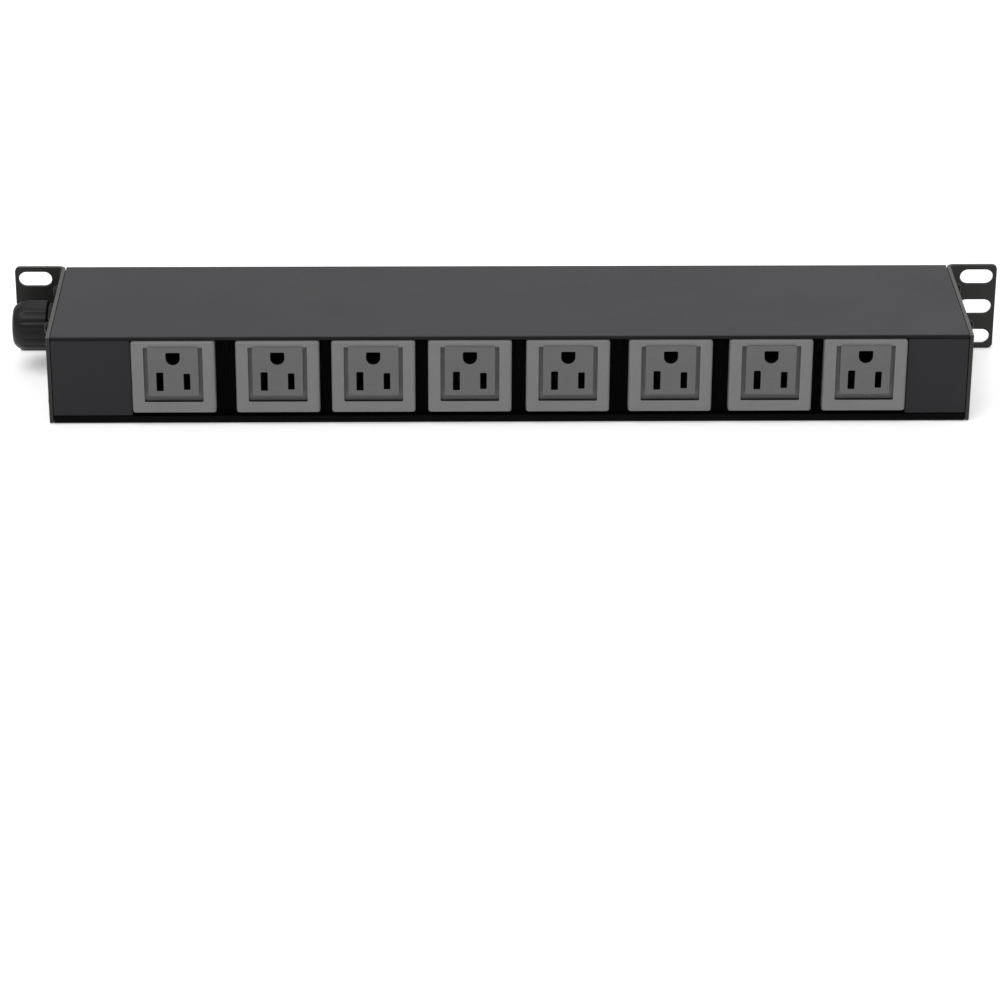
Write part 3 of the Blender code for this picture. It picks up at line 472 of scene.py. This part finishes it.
def boolean(target, operation, *others):
    for other in others:
        mod = target.modifiers.new(operation.lower(), "BOOLEAN")
        mod.operation = operation
        mod.solver = "EXACT"
        mod.object = other
    bake_mods(target)
    for other in others:
        me = other.data
        bpy.data.objects.remove(other, do_unlink=True)
        bpy.data.meshes.remove(me)
    bm = bmesh.new()
    bm.from_mesh(target.data)
    bmesh.ops.remove_doubles(bm, verts=bm.verts[:], dist=1e-6)
    bmesh.ops.dissolve_limit(bm, angle_limit=math.radians(0.05), verts=bm.verts[:], edges=bm.edges[:])
    bm.to_mesh(target.data)
    bm.free()
    return target


def join(target, *others):
    return boolean(target, "UNION", *others)


def cut(target, *others):
    return boolean(target, "DIFFERENCE", *others)


def cutters(bodies):
    bm = bmesh.new()
    for outline, axis, w0, w1 in bodies:
        add_prism(bm, outline, axis, w0, w1)
    return make("cutter", bm)


def soften(ob, width=0.25, segments=3, angle=32.0, smooth_angle=40.0):
    """Small moulded or pressed radius on every edge, then even shading."""
    if width:
        b = ob.modifiers.new("edge_radius", "BEVEL")
        b.width = width * MM
        b.segments = segments
        b.limit_method = "ANGLE"
        b.angle_limit = math.radians(angle)
        b.use_clamp_overlap = True
        b.miter_outer = "MITER_ARC"
        bake_mods(ob)
    ob.data.shade_smooth()
    ob.data.set_sharp_from_angle(angle=math.radians(smooth_angle))
    w = ob.modifiers.new("even_shading", "WEIGHTED_NORMAL")
    w.keep_sharp = True
    w.weight = 60
    return ob


def place(ob, body, nodes=()):
    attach(ob, body)
    if nodes:
        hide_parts(*nodes)
    return ob


def obround(cu, cv, length, width, n=14):
    r = width / 2
    s = length / 2 - r
    return arc(cu + s, cv, r, -90, 90, n) + arc(cu - s, cv, r, 90, 270, n)


TOP, DEPTH, HALF = 44.4, 90.0, 215.9
OUTLETS = (158.6, 109.6, 64.6, 19.2, -27.0, -75.3, -122.6, -167.1)
OZ = 24.4


# ============================================================ shells
def shells():
    top = (arc(2.0, TOP - 2.0, 2.0, 180, 90, 10) + arc(DEPTH - 1.5, TOP - 1.5, 1.5, 90, 0, 10)
           + [(DEPTH, TOP - 1.6), (4.3, TOP - 1.6), (4.3, 37.0), (2.8, 37.0), (2.8, TOP - 1.7), (1.4, TOP - 1.7),
              (1.4, TOP - 2.4), (0.0, TOP - 2.4)])
    bottom = (arc(2.0, 2.0, 2.0, 270, 180, 10)
              + [(0.0, 3.6), (1.4, 3.6), (1.4, 1.8), (2.8, 1.8), (2.8, 7.0), (4.3, 7.0), (4.3, 1.8),
                 (DEPTH - 1.5, 1.8), (DEPTH - 1.5, 4.0), (DEPTH, 4.0)] + arc(DEPTH - 1.5, 1.5, 1.5, 0, -90, 10))
    for name, outline, z, web in (("top_shell", top, TOP - 3.6, (TOP - 3.6, TOP - 0.8)),
                                  ("bottom_shell", bottom, 3.6, (0.9, 3.6))):
        ob = prism(name + "_fine", outline, "X", -HALF, HALF, *((SHELL, SHELL_SIDE_SHADE) if z > 20 else (LOWER_SHADE, LOWER_EDGE)))
        parts, bores = [], []
        for side in (-1, 1):
            for d in (24.0, 70.0):
                w0, w1 = sorted((side * HALF, side * (HALF - 18)))
                parts.append(prism("boss", circle(d, z, 3.0, 24), "X", w0, w1))
                parts.append(prism("web", rect(d - 2, d + 2, *web), "X", w0, w1))
                e0, e1 = sorted((side * (HALF + 1), side * (HALF - 16)))
                bores.append((circle(d, z, 1.75, 24), "X", e0, e1))
        join(ob, *parts)
        cut(ob, cutters(bores))
        soften(ob, 0.15, 2, 50)
        # Front, rear and inward-facing faces take the darker second material: painted shade.
        for poly in ob.data.polygons:
            if abs(poly.normal.y) > 0.6 or poly.normal.z * (1 if z > 20 else -1) < -0.3:
                poly.material_index = 1
        place(ob, "case", (name,))


shells()


# ============================================================ end brackets
def brackets():
    inner, outer, rb, t = 216.2, 218.0, 3.8, 1.8
    for name, side in (("end_bracket_left", -1), ("end_bracket_right", 1)):
        cx, cd = inner + rb, rb
        outline = ([(inner, DEPTH)] + arc(cx, cd, rb, 180, 270, 12) + [(241.3, 0.0), (241.3, t)]
                   + arc(cx, cd, rb - t, 270, 180, 12) + [(outer, DEPTH)])
        outline = [(side * u, v) for u, v in outline]
        bm = bmesh.new()
        add_prism(bm, outline, "Z", 0.0, TOP)
        tip, back = side * 241.3 * MM, (FRONT_PLANE + DEPTH) * MM

        def upright(e, key, value):
            a, b = e.verts[0].co, e.verts[1].co
            return abs(a.z - b.z) < 1e-7 and abs(getattr(a, key) - value) < 1e-7 and abs(getattr(b, key) - value) < 1e-7
        bmesh.ops.bevel(bm, geom=[e for e in bm.edges if upright(e, "x", tip)], offset=2.5 * MM, segments=10,
                        profile=0.5, affect="EDGES")
        bmesh.ops.bevel(bm, geom=[e for e in bm.edges if upright(e, "y", back)], offset=1.6 * MM, segments=6,
                        profile=0.5, affect="EDGES")
        ob = make(name + "_fine", bm, EAR, EAR_TOP_HIGHLIGHT, EAR_BEND_HIGHLIGHT)
        holes = [(obround(side * 231.4, TOP / 2 + rise, 16.2, 7.6), "Y", -1.0, t + 1.0)
                 for rise in (-15.875, 0.0, 15.875)]
        w0, w1 = sorted((side * (inner - 1), side * (outer + 1)))
        holes += [(circle(d, z, 1.75, 24), "X", w0, w1) for d in (24.0, 70.0) for z in (3.6, TOP - 3.6)]
        if side > 0:
            holes.append((circle(21.5, 21.8, 8.1, 48), "X", w0, w1))
        cut(ob, cutters(holes))
        soften(ob, 0.22, 3, 40)
        # Upward faces at the top edge and front-facing faces of the bend take the lighter copies: painted highlight.
        for poly in ob.data.polygons:
            if poly.normal.z > 0.5 and poly.center.z > (TOP - 0.5) * MM:
                poly.material_index = 1
            elif abs(poly.center.x) < 220.4 * MM and poly.center.y < (FRONT_PLANE + rb) * MM and poly.normal.y < -0.02:
                poly.material_index = 2
        place(ob, "case", (name,))


brackets()


# ============================================================ end screws
def screws():
    for word, side in (("left", -1), ("right", 1)):
        number = 1
        for d in (24.0, 70.0):
            for z in (TOP - 3.6, 3.6):
                head = 218.05
                profile = [(0.0, head - 13.5), (1.0, head - 13.5), (1.25, head - 12.9)]
                w = head - 12.6
                while w < head - 1.2:
                    profile += [(1.28, w), (1.46, w + 0.25)]
                    w += 0.5
                profile += [(1.3, head - 0.6), (1.3, head), (2.55, head), (2.75, head + 0.2), (2.75, head + 0.95)]
                profile += [(1.35 + 1.4 * math.cos(a), head + 0.95 + 1.25 * math.sin(a))
                            for a in (math.radians(k) for k in (15, 30, 45, 60, 75, 90))]
                profile.append((0.0, head + 2.2))
                ob = turned("end_screw_%s_%d_fine" % (word, number), [(r, side * v) for r, v in profile], d, z, "X",
                            SCREW, 40)
                turn = math.radians(17 * number + (40 if side > 0 else 0))
                for k in range(2):
                    a = turn + k * math.pi / 2
                    ux, uz = math.cos(a), math.sin(a)
                    bar = [(d + ux * p - uz * q, z + uz * p + ux * q) for p, q in
                           ((-1.5, -0.34), (1.5, -0.34), (1.5, 0.34), (-1.5, 0.34))]
                    w0, w1 = sorted((side * (head + 1.15), side * (head + 4.0)))
                    cut(ob, prism("cross", bar, "X", w0, w1))
                soften(ob, 0.0, smooth_angle=38.0)
                place(ob, "case", ("end_screw_%s_%d" % (word, number),))
                number += 1


screws()


# ============================================================ outlets
def outlet_master():
    hw, hh, rear = 19.7, 18.1, DEPTH
    bm = bmesh.new()
    rows = [(rounded(-hw + 0.3, hw - 0.3, OZ - hh + 0.3, OZ + hh - 0.3, 1.0, 6), 86.4),
            (rounded(-hw, hw, OZ - hh, OZ + hh, 1.2, 6), 86.7)]
    for k in range(7):
        a = math.radians(15 * k)
        inset = 1.5 * (1 - math.cos(a))
        rows.append((rounded(-hw + inset, hw - inset, OZ - hh + inset, OZ + hh - inset, max(0.35, 1.3 - inset * 0.4), 6),
                     rear + 0.8 + 1.4 * math.sin(a)))
    add_loft(bm, rows, "Y")
    ob = make("outlet", bm, OUTLET, CAVITY_SHADE, GROOVE, FACE, GROOVE_SIDE_SHADE)
    fz = OZ + 3.4
    housing = box("housing", -17.2, 17.2, 62.0, 87.4, OZ - 16.5, OZ + 16.2)
    face = prism("face", rounded(-11.8, 11.8, fz - 12.2, fz + 12.5, 0.8, 4), "Y", 86.9, rear + 2.8)
    join(ob, housing, face)
    left, right, low, high = -11.8, 11.8, fz - 12.2, fz + 12.2
    side, under = 2.1, 3.4
    groove = ([(left - side, high)] + arc(left - side + 0.7, low - under + 0.7, 0.7, 180, 270, 4)
              + arc(right + side - 0.7, low - under + 0.7, 0.7, 270, 360, 4) + [(right + side, high), (right, high)]
              + arc(right - 0.7, low + 0.7, 0.7, 0, -90, 4) + arc(left + 0.7, low + 0.7, 0.7, -90, -180, 4)
              + [(left, high)])
    cut(ob, cutters([(groove, "Y", rear + 0.2, rear + 5)]))
    gz, bz = OZ + 10.1, OZ - 1.6
    ground = (arc(2.5, gz + 2.2, 0.5, 0, 90, 4) + arc(-2.5, gz + 2.2, 0.5, 90, 180, 4)
              + arc(0, gz + 0.2, 3.0, 182, 358, 22))
    neutral = rounded(6.35 - 1.3, 6.35 + 1.3, bz - 4.4, bz + 4.4, 0.4, 4)
    line = rounded(-6.35 - 1.2, -6.35 + 1.2, bz - 3.8, bz + 3.8, 0.4, 4)
    cut(ob, cutters([(o, "Y", 84.0, rear + 5) for o in (ground, neutral, line)]))
    funnels = bmesh.new()
    for outline, cu, cv in ((ground, 0.0, gz), (neutral, 6.35, bz), (line, -6.35, bz)):
        hu = max(u for u, v in outline) - cu
        hv = max(v for u, v in outline) - cv
        rows = []
        for grow, w in ((0.0, rear + 2.3), (0.35, rear + 2.65), (0.45, rear + 2.85), (0.45, rear + 5.0)):
            rows.append(([(cu + (u - cu) * (1 + grow / hu), cv + (v - cv) * (1 + grow / hv)) for u, v in outline], w))
        add_loft(funnels, rows, "Y")
    cut(ob, make("funnels", funnels))
    cut(ob, cutters([(rect(-9.25, 9.25, bz - 5.4, gz + 3.3), "Y", 61.0, 87.0)]))
    cut(ob, cutters([(circle(0.0, bz - 0.4, 1.9, 32), "Y", rear + 2.72, rear + 5)]))
    b = ob.modifiers.new("edge_radius", "BEVEL")
    b.width = 0.28 * MM
    b.segments = 3
    b.limit_method = "ANGLE"
    b.angle_limit = math.radians(40)
    b.miter_outer = "MITER_ARC"
    bake_mods(ob)
    me = ob.data
    for poly in me.polygons:
        c = poly.center
        x, d, z = c.x / MM, c.y / MM - FRONT_PLANE, c.z / MM
        hole = ((abs(x - 6.35) < 1.62 and abs(z - bz) < 4.72) or (abs(x + 6.35) < 1.52 and abs(z - bz) < 4.12)
                or (abs(x) < 3.3 and -3.2 < z - gz < 3.1))
        # Slot walls and the inside of the outlet body take the near-black material: painted shade.
        if (hole and 86.0 < d < rear + 2.66) or (61.5 < d < 87.1 and abs(x) < 9.3 and bz - 5.5 < z < gz + 3.4):
            poly.material_index = 1
        elif abs(x) < 11.9 and low - 0.1 < z < high + 0.4 and d > rear + 2.3:
            poly.material_index = 3
        # Groove faces take the darker copies: painted shade, deepest in the bottom groove.
        elif rear + 0.1 < d < rear + 1.9 and abs(x) < 11.8 + side + 0.1 and low - under - 0.1 < z < high + 0.1:
            poly.material_index = 2 if z < low + 0.1 else 4
    me.shade_smooth()
    me.set_sharp_from_angle(angle=math.radians(40.0))
    return ob


def outlets():
    master = outlet_master()
    for i, x in enumerate(OUTLETS, 1):
        ob = bpy.data.objects.new("outlet_%d_fine" % i, master.data)
        ob.location = (x * MM, 0.0, 0.0)
        bpy.context.scene.collection.objects.link(ob)
        w = ob.modifiers.new("even_shading", "WEIGHTED_NORMAL")
        w.keep_sharp = True
        w.weight = 60
        place(ob, "case", ("outlet_%d" % i,))
    bpy.data.objects.remove(master, do_unlink=True)


outlets()


# ============================================================ rear panel and blanks
def rear():
    # The recessed panel between the outlets is near black: painted shade.
    ob = box("outlet_panel_fine", -214.0, 214.0, 84.4, 86.1, 2.1, 41.7, RECESS_SHADE)
    holes = [(rounded(x - 17.5, x + 17.5, OZ - 16.8, OZ + 16.5, 1.0, 4), "Y", 83.0, 88.0) for x in OUTLETS]
    for side in (-1, 1):
        u0, u1 = sorted((side * 191.0, side * 220.0))
        holes.append((rect(u0, u1, 34.4, 44.0), "Y", 83.0, 88.0))
        holes.append((rect(u0, u1, 0.0, 9.2), "Y", 83.0, 88.0))
    cut(ob, cutters(holes))
    gaps = [(a + b) / 2 for a, b in zip(OUTLETS, OUTLETS[1:])]
    tabs = [prism("tab", rounded(g - 1.7, g + 1.7, 36.0, 41.6, 0.6, 3), "Y", 85.0, 87.4) for g in gaps]
    tabs += [box("rib", g - 0.6, g + 0.6, 85.2, 86.8, 8.0, 33.0) for g in gaps]
    join(ob, *tabs)
    soften(ob, 0.2, 2, 40)
    place(ob, "case", ("outlet_panel",))
    for name, x0, x1 in (("rear_blank_gland_end", 178.7, HALF), ("rear_blank_far_end", -HALF, -187.2)):
        ob = prism(name + "_fine", rounded(x0, x1, 4.3, 42.5, 0.5, 4), "Y", 88.0, 89.8, PANEL)
        mid = (x0 + x1) / 2
        join(ob, box("leg", mid - 9.0, mid - 7.4, 86.4, 88.6, 14.0, 30.0),
             box("leg", mid + 7.4, mid + 9.0, 86.4, 88.6, 14.0, 30.0))
        soften(ob, 0.3, 3, 40)
        place(ob, "case", (name,))


rear()


# ============================================================ front panels
def front():
    z0, z1 = 3.9, 41.7
    sx, sz = -175.8, 24.0
    ob = prism("switch_panel_fine", rounded(-HALF, -149.5, z0, z1, 0.4, 3), "Y", 0.4, 2.4, PANEL)
    cut(ob, cutters([(rounded(sx - 11.9, sx + 11.9, sz - 11.2, sz + 11.2, 0.6, 4), "Y", -2, 5)]))
    soften(ob, 0.25, 3, 40)
    place(ob, "case", ("switch_panel",))
    ob = prism("breaker_panel_fine", rounded(-149.2, -131.1, z0, z1, 0.4, 3), "Y", 0.4, 2.4, PANEL)
    cut(ob, cutters([(circle(-140.2, 21.0, 7.6, 64), "Y", -2, 5)]))
    soften(ob, 0.4, 3, 40)
    place(ob, "case", ("breaker_panel",))
    ob = prism("front_blank_fine", rounded(-130.8, 203.8, z0, z1, 0.4, 3), "Y", 0.4, 2.4, BLANK)
    soften(ob, 0.3, 3, 40)
    place(ob, "case", ("front_blank",))
    ob = prism("front_end_filler_fine", rounded(204.1, HALF, z0, z1, 0.4, 3), "Y", 0.4, 2.4, PANEL)
    soften(ob, 0.3, 3, 40)
    place(ob, "case", ("front_end_filler",))


front()


# ============================================================ switch
def switch():
    sx, sz = -175.8, 24.0
    ob = prism("switch_body_fine", rounded(sx - 12.8, sx + 12.8, sz - 12.2, sz + 12.2, 1.2, 6), "Y", -1.2, 0.1, BLACK)
    join(ob, box("house", sx - 11.5, sx + 11.5, -0.6, 28.0, sz - 10.8, sz + 10.8))
    cut(ob, cutters([(rounded(sx - 9.4, sx + 9.4, sz - 8.6, sz + 8.6, 0.5, 4), "Y", -3.0, 9.5)]))
    cut(ob, cutters([(rect(sx - 8.6, sx + 8.6, sz - 6.0, sz + 6.0), "Y", 8.0, 24.5),
                     (circle(sx, 4.0, 1.5, 24), "Z", sz - 9.9, sz + 9.9)]))
    cut(ob, cutters([(rect(sx + dx - 0.75, sx + dx + 0.75, sz - 3.5, sz + 3.5), "Y", 23.0, 30.0)
                     for dx in (-6.2, 0.0, 6.2)]))
    soften(ob, 0.2, 3, 40)
    place(ob, "case", ("switch_body",))

    front_edge = []
    for i in range(17):
        u = -8.0 + i
        front_edge.append((u, -1.25 - 1.15 * (abs(u) / 8.0) ** 1.4))
    outline = front_edge + [(8.35, -0.2), (8.5, 1.0), (8.6, 3.5), (8.0, 6.2), (-8.0, 6.2), (-8.6, 3.5), (-8.5, 1.0),
                            (-8.35, -0.2)]
    rocker = prism("switch_rocker_fine", [(sx + u, v) for u, v in outline], "Z", sz - 8.2, sz + 8.2, ROCKER)
    join(rocker, prism("axle", circle(sx, 4.0, 1.15, 24), "Z", sz - 9.5, sz + 9.5),
         box("stem", sx - 1.2, sx + 1.2, 5.0, 16.8, sz - 1.6, sz + 1.6))
    cut(rocker, cutters([(rect(sx - 6.4, sx - 2.0, sz - 6.4, sz + 6.4), "Y", 0.4, 8.0)]))
    ribs = []
    for k in range(3):
        u = sx + 3.4 + k * 1.5
        ribs.append((rounded(u - 0.28, u + 0.28, sz - 5.0, sz + 5.0, 0.25, 3), "Y", -3.0, -1.25 - 1.15 * ((3.4 + k * 1.5) / 8.0) ** 1.4 + 0.22))
    cut(rocker, cutters(ribs))
    pivot = at(sx, 4.0, sz)
    rocker.data.transform(Matrix.Translation(pivot) @ Matrix.Rotation(math.radians(-10.0), 4, "Z")
                          @ Matrix.Translation(-pivot))
    soften(rocker, 0.3, 3, 40)
    place(rocker, "rocker", ("switch_rocker",))


switch()


# ============================================================ guard
def guard():
    hx, hd = -196.6, -3.4
    sx, sz = -175.8, 24.0
    ob = prism("guard_frame_fine", rounded(-195.5, -157.4, 8.7, 37.5, 0.8, 4), "Y", -1.6, 0.1, BLACK)
    parts = []
    for z0, z1 in ((10.2, 13.4), (34.4, 37.4)):
        parts.append(prism("knuckle", circle(hx, hd, 1.9, 40), "Z", z0, z1))
        parts.append(box("arm", -198.3, -194.7, hd, 0.1, z0, z1))
    join(ob, *parts)
    cut(ob, cutters([(rounded(sx - 13.1, sx + 13.1, sz - 12.5, sz + 12.5, 1.2, 4), "Y", -4.0, 2.0),
                     (circle(hx, hd, 1.05, 32), "Z", 5.0, 40.0)]))
    soften(ob, 0.22, 3, 40)
    place(ob, "case", ("guard_frame",))

    left, right, low, high, bulge, wall = -194.2, -159.4, 8.5, 37.7, 2.4, 1.2

    def outline(inset, n=20, corner=1.2):
        x0, z0, z1 = left + inset, low + inset, high - inset
        c = max(0.3, corner - inset)
        pts = arc(x0 + c, z0 + c, c, 270, 180, 5)[::-1]
        edge = []
        for i in range(n + 1):
            t = i / n
            edge.append((right - inset + bulge * math.sin(math.pi * t), z0 + (z1 - z0) * t))
        pts = [p for p in arc(x0 + c, z0 + c, c, 180, 270, 5)] + edge + [p for p in arc(x0 + c, z1 - c, c, 90, 180, 5)]
        return pts
    bm = bmesh.new()
    rows = [(outline(0.0), -2.0), (outline(0.0), -8.0), (outline(0.12), -8.5), (outline(0.4), -8.85),
            (outline(0.9), -8.97)]
    add_loft(bm, rows, "Y")
    cover = make("guard_cover_fine", bm, CLEAR, CLEAR_RIM_HIGHLIGHT)
    bm = bmesh.new()
    add_loft(bm, [(outline(1.7), -7.8), (outline(1.3), -7.5), (outline(1.2), -7.0), (outline(1.2), 0.0)], "Y")
    cut(cover, make("inner", bm))
    for z0, z1 in ((13.8, 17.2), (30.6, 34.0)):
        join(cover, prism("lug", circle(hx, hd, 1.9, 40), "Z", z0, z1),
             box("arm", hx, left + 0.8, hd - 1.2, hd + 1.0, z0, z1))
    cut(cover, cutters([(circle(hx, hd, 1.05, 32), "Z", 5.0, 40.0)]))
    soften(cover, 0.15, 2, 40)
    # Lugs and the rim faces take the whitened copy: painted highlight.
    for poly in cover.data.polygons:
        d = poly.center.y / MM - FRONT_PLANE
        lug = poly.center.x / MM < left - 0.1
        poly.material_index = 1 if lug or (abs(poly.normal.y) < 0.85 and (d < -7.6 or d > -2.6)) else 0
    place(cover, "guard", ("guard_cover",))

    def triangle(cx, cz, width, height, r, n=6):
        pts = [(cx - width / 2, cz - height / 3), (cx + width / 2, cz - height / 3), (cx, cz + 2 * height / 3)]
        out = []
        for i in range(3):
            a, b, c = Vector(pts[i - 1]), Vector(pts[i]), Vector(pts[(i + 1) % 3])
            u, v = (a - b).normalized(), (c - b).normalized()
            half = u.angle(v) / 2
            centre = b + (u + v).normalized() * (r / math.sin(half))
            p0 = b + u * (r / math.tan(half))
            p1 = b + v * (r / math.tan(half))
            a0 = math.atan2(p0.y - centre.y, p0.x - centre.x)
            a1 = math.atan2(p1.y - centre.y, p1.x - centre.x)
            while a1 - a0 > math.pi:
                a1 -= 2 * math.pi
            while a1 - a0 < -math.pi:
                a1 += 2 * math.pi
            for k in range(n + 1):
                a_ = a0 + (a1 - a0) * k / n
                out.append((centre.x + r * math.cos(a_), centre.y + r * math.sin(a_)))
        return out
    cx, cz = -175.6, 24.9
    tri = prism("guard_triangle_print", triangle(cx, cz, 22.8, 18.4, 1.8), "Y", -9.0, -8.9, INK)
    cut(tri, prism("hole", triangle(cx, cz - 0.1, 12.6, 10.0, 0.6), "Y", -10.0, -8.0))
    soften(tri, 0.0)
    place(tri, "guard", ())

    pin = turned("guard_hinge_pin_fine", [(0.0, 9.8), (0.6, 9.8), (0.75, 10.0), (0.75, 37.7), (0.6, 37.9), (0.0, 37.9)],
                 hx, hd, "Z", STEEL, 32)
    soften(pin, 0.0)
    place(pin, "case", ("guard_hinge_pin",))


guard()


# ============================================================ breaker
def breaker():
    bx, bz = -140.2, 21.0
    ob = prism("breaker_body_fine", rounded(bx - 7.6, bx + 7.6, bz - 13.0, bz + 13.0, 0.6, 4), "Y", 5.0, 32.0, BLACK)
    bm = bmesh.new()
    prof = [(0.0, -1.8), (6.9, -1.8), (7.2, -1.5)]
    w = -1.2
    while w < 4.6:
        prof += [(7.2, w), (6.95, w + 0.35)]
        w += 0.7
    prof += [(7.2, 8.0), (0.0, 8.0)]
    add_turned(bm, prof, bx, bz, "Y", 64)
    join(ob, make("bush", bm))
    cut(ob, cutters([(circle(bx, bz, 5.25, 64), "Y", -4.0, 14.0),
                     (rect(bx - 0.75, bx + 0.75, bz - 10.5, bz - 3.5), "Y", 26.0, 34.0),
                     (rect(bx - 0.75, bx + 0.75, bz + 3.5, bz + 10.5), "Y", 26.0, 34.0)]))
    soften(ob, 0.0)
    place(ob, "case", ("breaker_body",))
    prof = [(7.55, 0.1), (7.55, -1.3)] + [(8.35 - 0.8 * math.cos(a), -1.3 - 0.8 * math.sin(a))
                                          for a in (math.radians(k) for k in (20, 45, 70, 90))]
    prof += [(8.75 + 0.55 * math.sin(a), -1.55 - 0.55 * math.cos(a)) for a in (math.radians(k) for k in (0, 30, 60, 90))]
    prof += [(9.3, 0.1)]

    def knurl(a, r, w):
        return -0.16 * (0.5 + 0.5 * math.cos(36 * a)) ** 2 if r > 9.0 and w > -1.8 else 0.0
    ob = turned("breaker_bezel_fine", prof, bx, bz, "Y", PANEL, 144, knurl)
    soften(ob, 0.0)
    place(ob, "case", ("breaker_bezel",))
    prof = [(0.0, 11.0), (4.7, 11.0), (4.9, 10.8), (4.9, -3.2)]
    prof += [(4.3 + 0.6 * math.cos(a), -3.2 - 0.7 * math.sin(a)) for a in (math.radians(k) for k in (20, 45, 70, 90))]
    prof += [(3.2, -4.12), (1.8, -4.3), (0.0, -4.4)]
    ob = turned("breaker_button_fine", prof, bx, bz, "Y", BUTTON, 64)
    soften(ob, 0.0)
    place(ob, "button", ("breaker_button",))


breaker()


# ============================================================ gland
def gland():
    cd, cz = 21.5, 21.8
    prof = [(5.2, 204.0), (7.6, 204.0)]
    w = 204.4
    while w < 217.5:
        prof += [(7.8, w), (7.5, w + 0.5)]
        w += 1.0
    prof += [(7.8, 218.2), (7.8, 218.3), (11.0, 218.3), (11.4, 218.7), (11.4, 222.7), (11.0, 223.2), (8.2, 223.2),
             (8.2, 230.6), (8.0, 230.8), (5.2, 230.8)]

    def hexed(a, r, w):
        if r < 10.5:
            return 0.0
        k = (a + math.pi / 6) % (math.pi / 3) - math.pi / 6
        return min(0.0, 10.4 / math.cos(k) - r)
    ob = turned("gland_body_fine", prof, cd, cz, "X", GLAND, 96, hexed)
    soften(ob, 0.0, smooth_angle=30.0)
    place(ob, "case", ("gland_body",))
    ob = turned("gland_locknut_fine", [(8.15, 211.6), (10.4, 211.6), (10.8, 212.0), (10.8, 215.5), (10.4, 215.9),
                                       (8.15, 215.9)], cd, cz, "X", GLAND, 72,
                lambda a, r, w: min(0.0, 9.9 / math.cos((a + math.pi / 6) % (math.pi / 3) - math.pi / 6) - r)
                if r > 9.9 else 0.0)
    soften(ob, 0.0, smooth_angle=30.0)
    place(ob, "case", ("gland_locknut",))
    ob = turned("gland_seal_fine", [(5.0, 231.2), (8.2, 231.2), (8.2, 235.6), (7.0, 236.4), (5.3, 236.4),
                                    (5.0, 236.1)], cd, cz, "X", RUBBER, 64)
    soften(ob, 0.0)
    place(ob, "case", ("gland_seal",))
    prof = [(8.6, 223.6), (11.6, 223.6), (12.0, 223.9), (12.25, 224.4), (12.25, 230.0), (12.25, 232.6)]
    prof += [(7.45 + 4.8 * math.cos(a), 232.9 + 7.9 * math.sin(a)) for a in (math.radians(k) for k in range(8, 91, 8))]
    prof += [(7.3, 240.8), (6.2, 240.8), (5.7, 240.5), (5.4, 239.8), (5.4, 236.8), (8.6, 236.8)]

    def flutes(a, r, w):
        if r < 11.2 or w > 235.5:
            return 0.0
        return -0.45 * (0.5 - 0.5 * math.cos(18 * a)) ** 3
    ob = turned("gland_dome_nut_fine", prof, cd, cz, "X", GLAND, 216, flutes)
    soften(ob, 0.0, smooth_angle=34.0)
    place(ob, "case", ("gland_dome_nut",))


gland()

# ============================================================ pieces kept from the CAD, with their finishes
KEPT = {
    "busbar_line": BUSBAR_SHADED, "busbar_neutral": BUSBAR_SHADED, "busbar_ground": BUSBAR_SHADED, "moving_contact": BRASS,
    "switch_terminal_supply": BRASS, "switch_terminal_load": BRASS, "switch_terminal_lamp": BRASS,
    "breaker_terminal_line": BRASS, "breaker_terminal_load": BRASS, "terminal_block": NYLON,
    "ground_stud": STEEL, "ground_nut": STEEL, "switch_lamp": LAMP,
    "wire_line_feed": W_BLACK, "wire_line_to_switch": W_BLACK, "wire_line_to_busbar": W_BLACK,
    "wire_neutral": W_WHITE, "wire_ground": W_GREEN, "wire_ground_bond": W_GREEN,
}
for node, mat in KEPT.items():
    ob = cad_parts[node]
    if ob.material_slots:
        for s in ob.material_slots:
            s.material = mat
    else:
        ob.data.materials.append(mat)
    if node.startswith("wire") or node in ("switch_lamp",):
        for poly in ob.data.polygons:
            poly.use_smooth = True


# ============================================================ floor and light
def studio():
    bm = bmesh.new()
    bmesh.ops.create_grid(bm, x_segments=1, y_segments=1, size=6.0)
    floor = make("Studio_floor", bm)
    n = Nodes("Studio_floor_paper")
    tone = n.noise(3.0, 2.0)
    n.set(color=n.mix(n.span(tone, 0.0, 1.0, 0.3, 0.7), (0.93, 0.93, 0.93), (0.95, 0.95, 0.95)), rough=0.95, spec=0.05,
          glow=(1.0, 1.0, 1.0), glow_strength=0.28)
    floor.data.materials.append(n.m)
    floor.location = (0, 0, -0.0001)

    def sun(name, source, strength, angle):
        light = bpy.data.lights.new(name, "SUN")
        light.energy = strength
        light.angle = math.radians(angle)
        ob = bpy.data.objects.new(name, light)
        ob.rotation_euler = Vector(source).to_track_quat("Z", "Y").to_euler()
        ob.location = source
        bpy.context.scene.collection.objects.link(ob)
    sun("Key_soft", (0.55, 0.55, 1.7), 1.35, 45)
    sun("Front_soft", (-0.5, -1.1, 1.5), 0.50, 50)
    world = bpy.data.worlds.new("Studio")
    bpy.context.scene.world = world
    world.use_nodes = True
    bg = world.node_tree.nodes["Background"]
    bg.inputs["Color"].default_value = (1.0, 1.0, 1.0, 1.0)
    bg.inputs["Strength"].default_value = 0.56
    bpy.context.scene.view_settings.view_transform = "Standard"


studio()

bpy.context.view_layer.update()
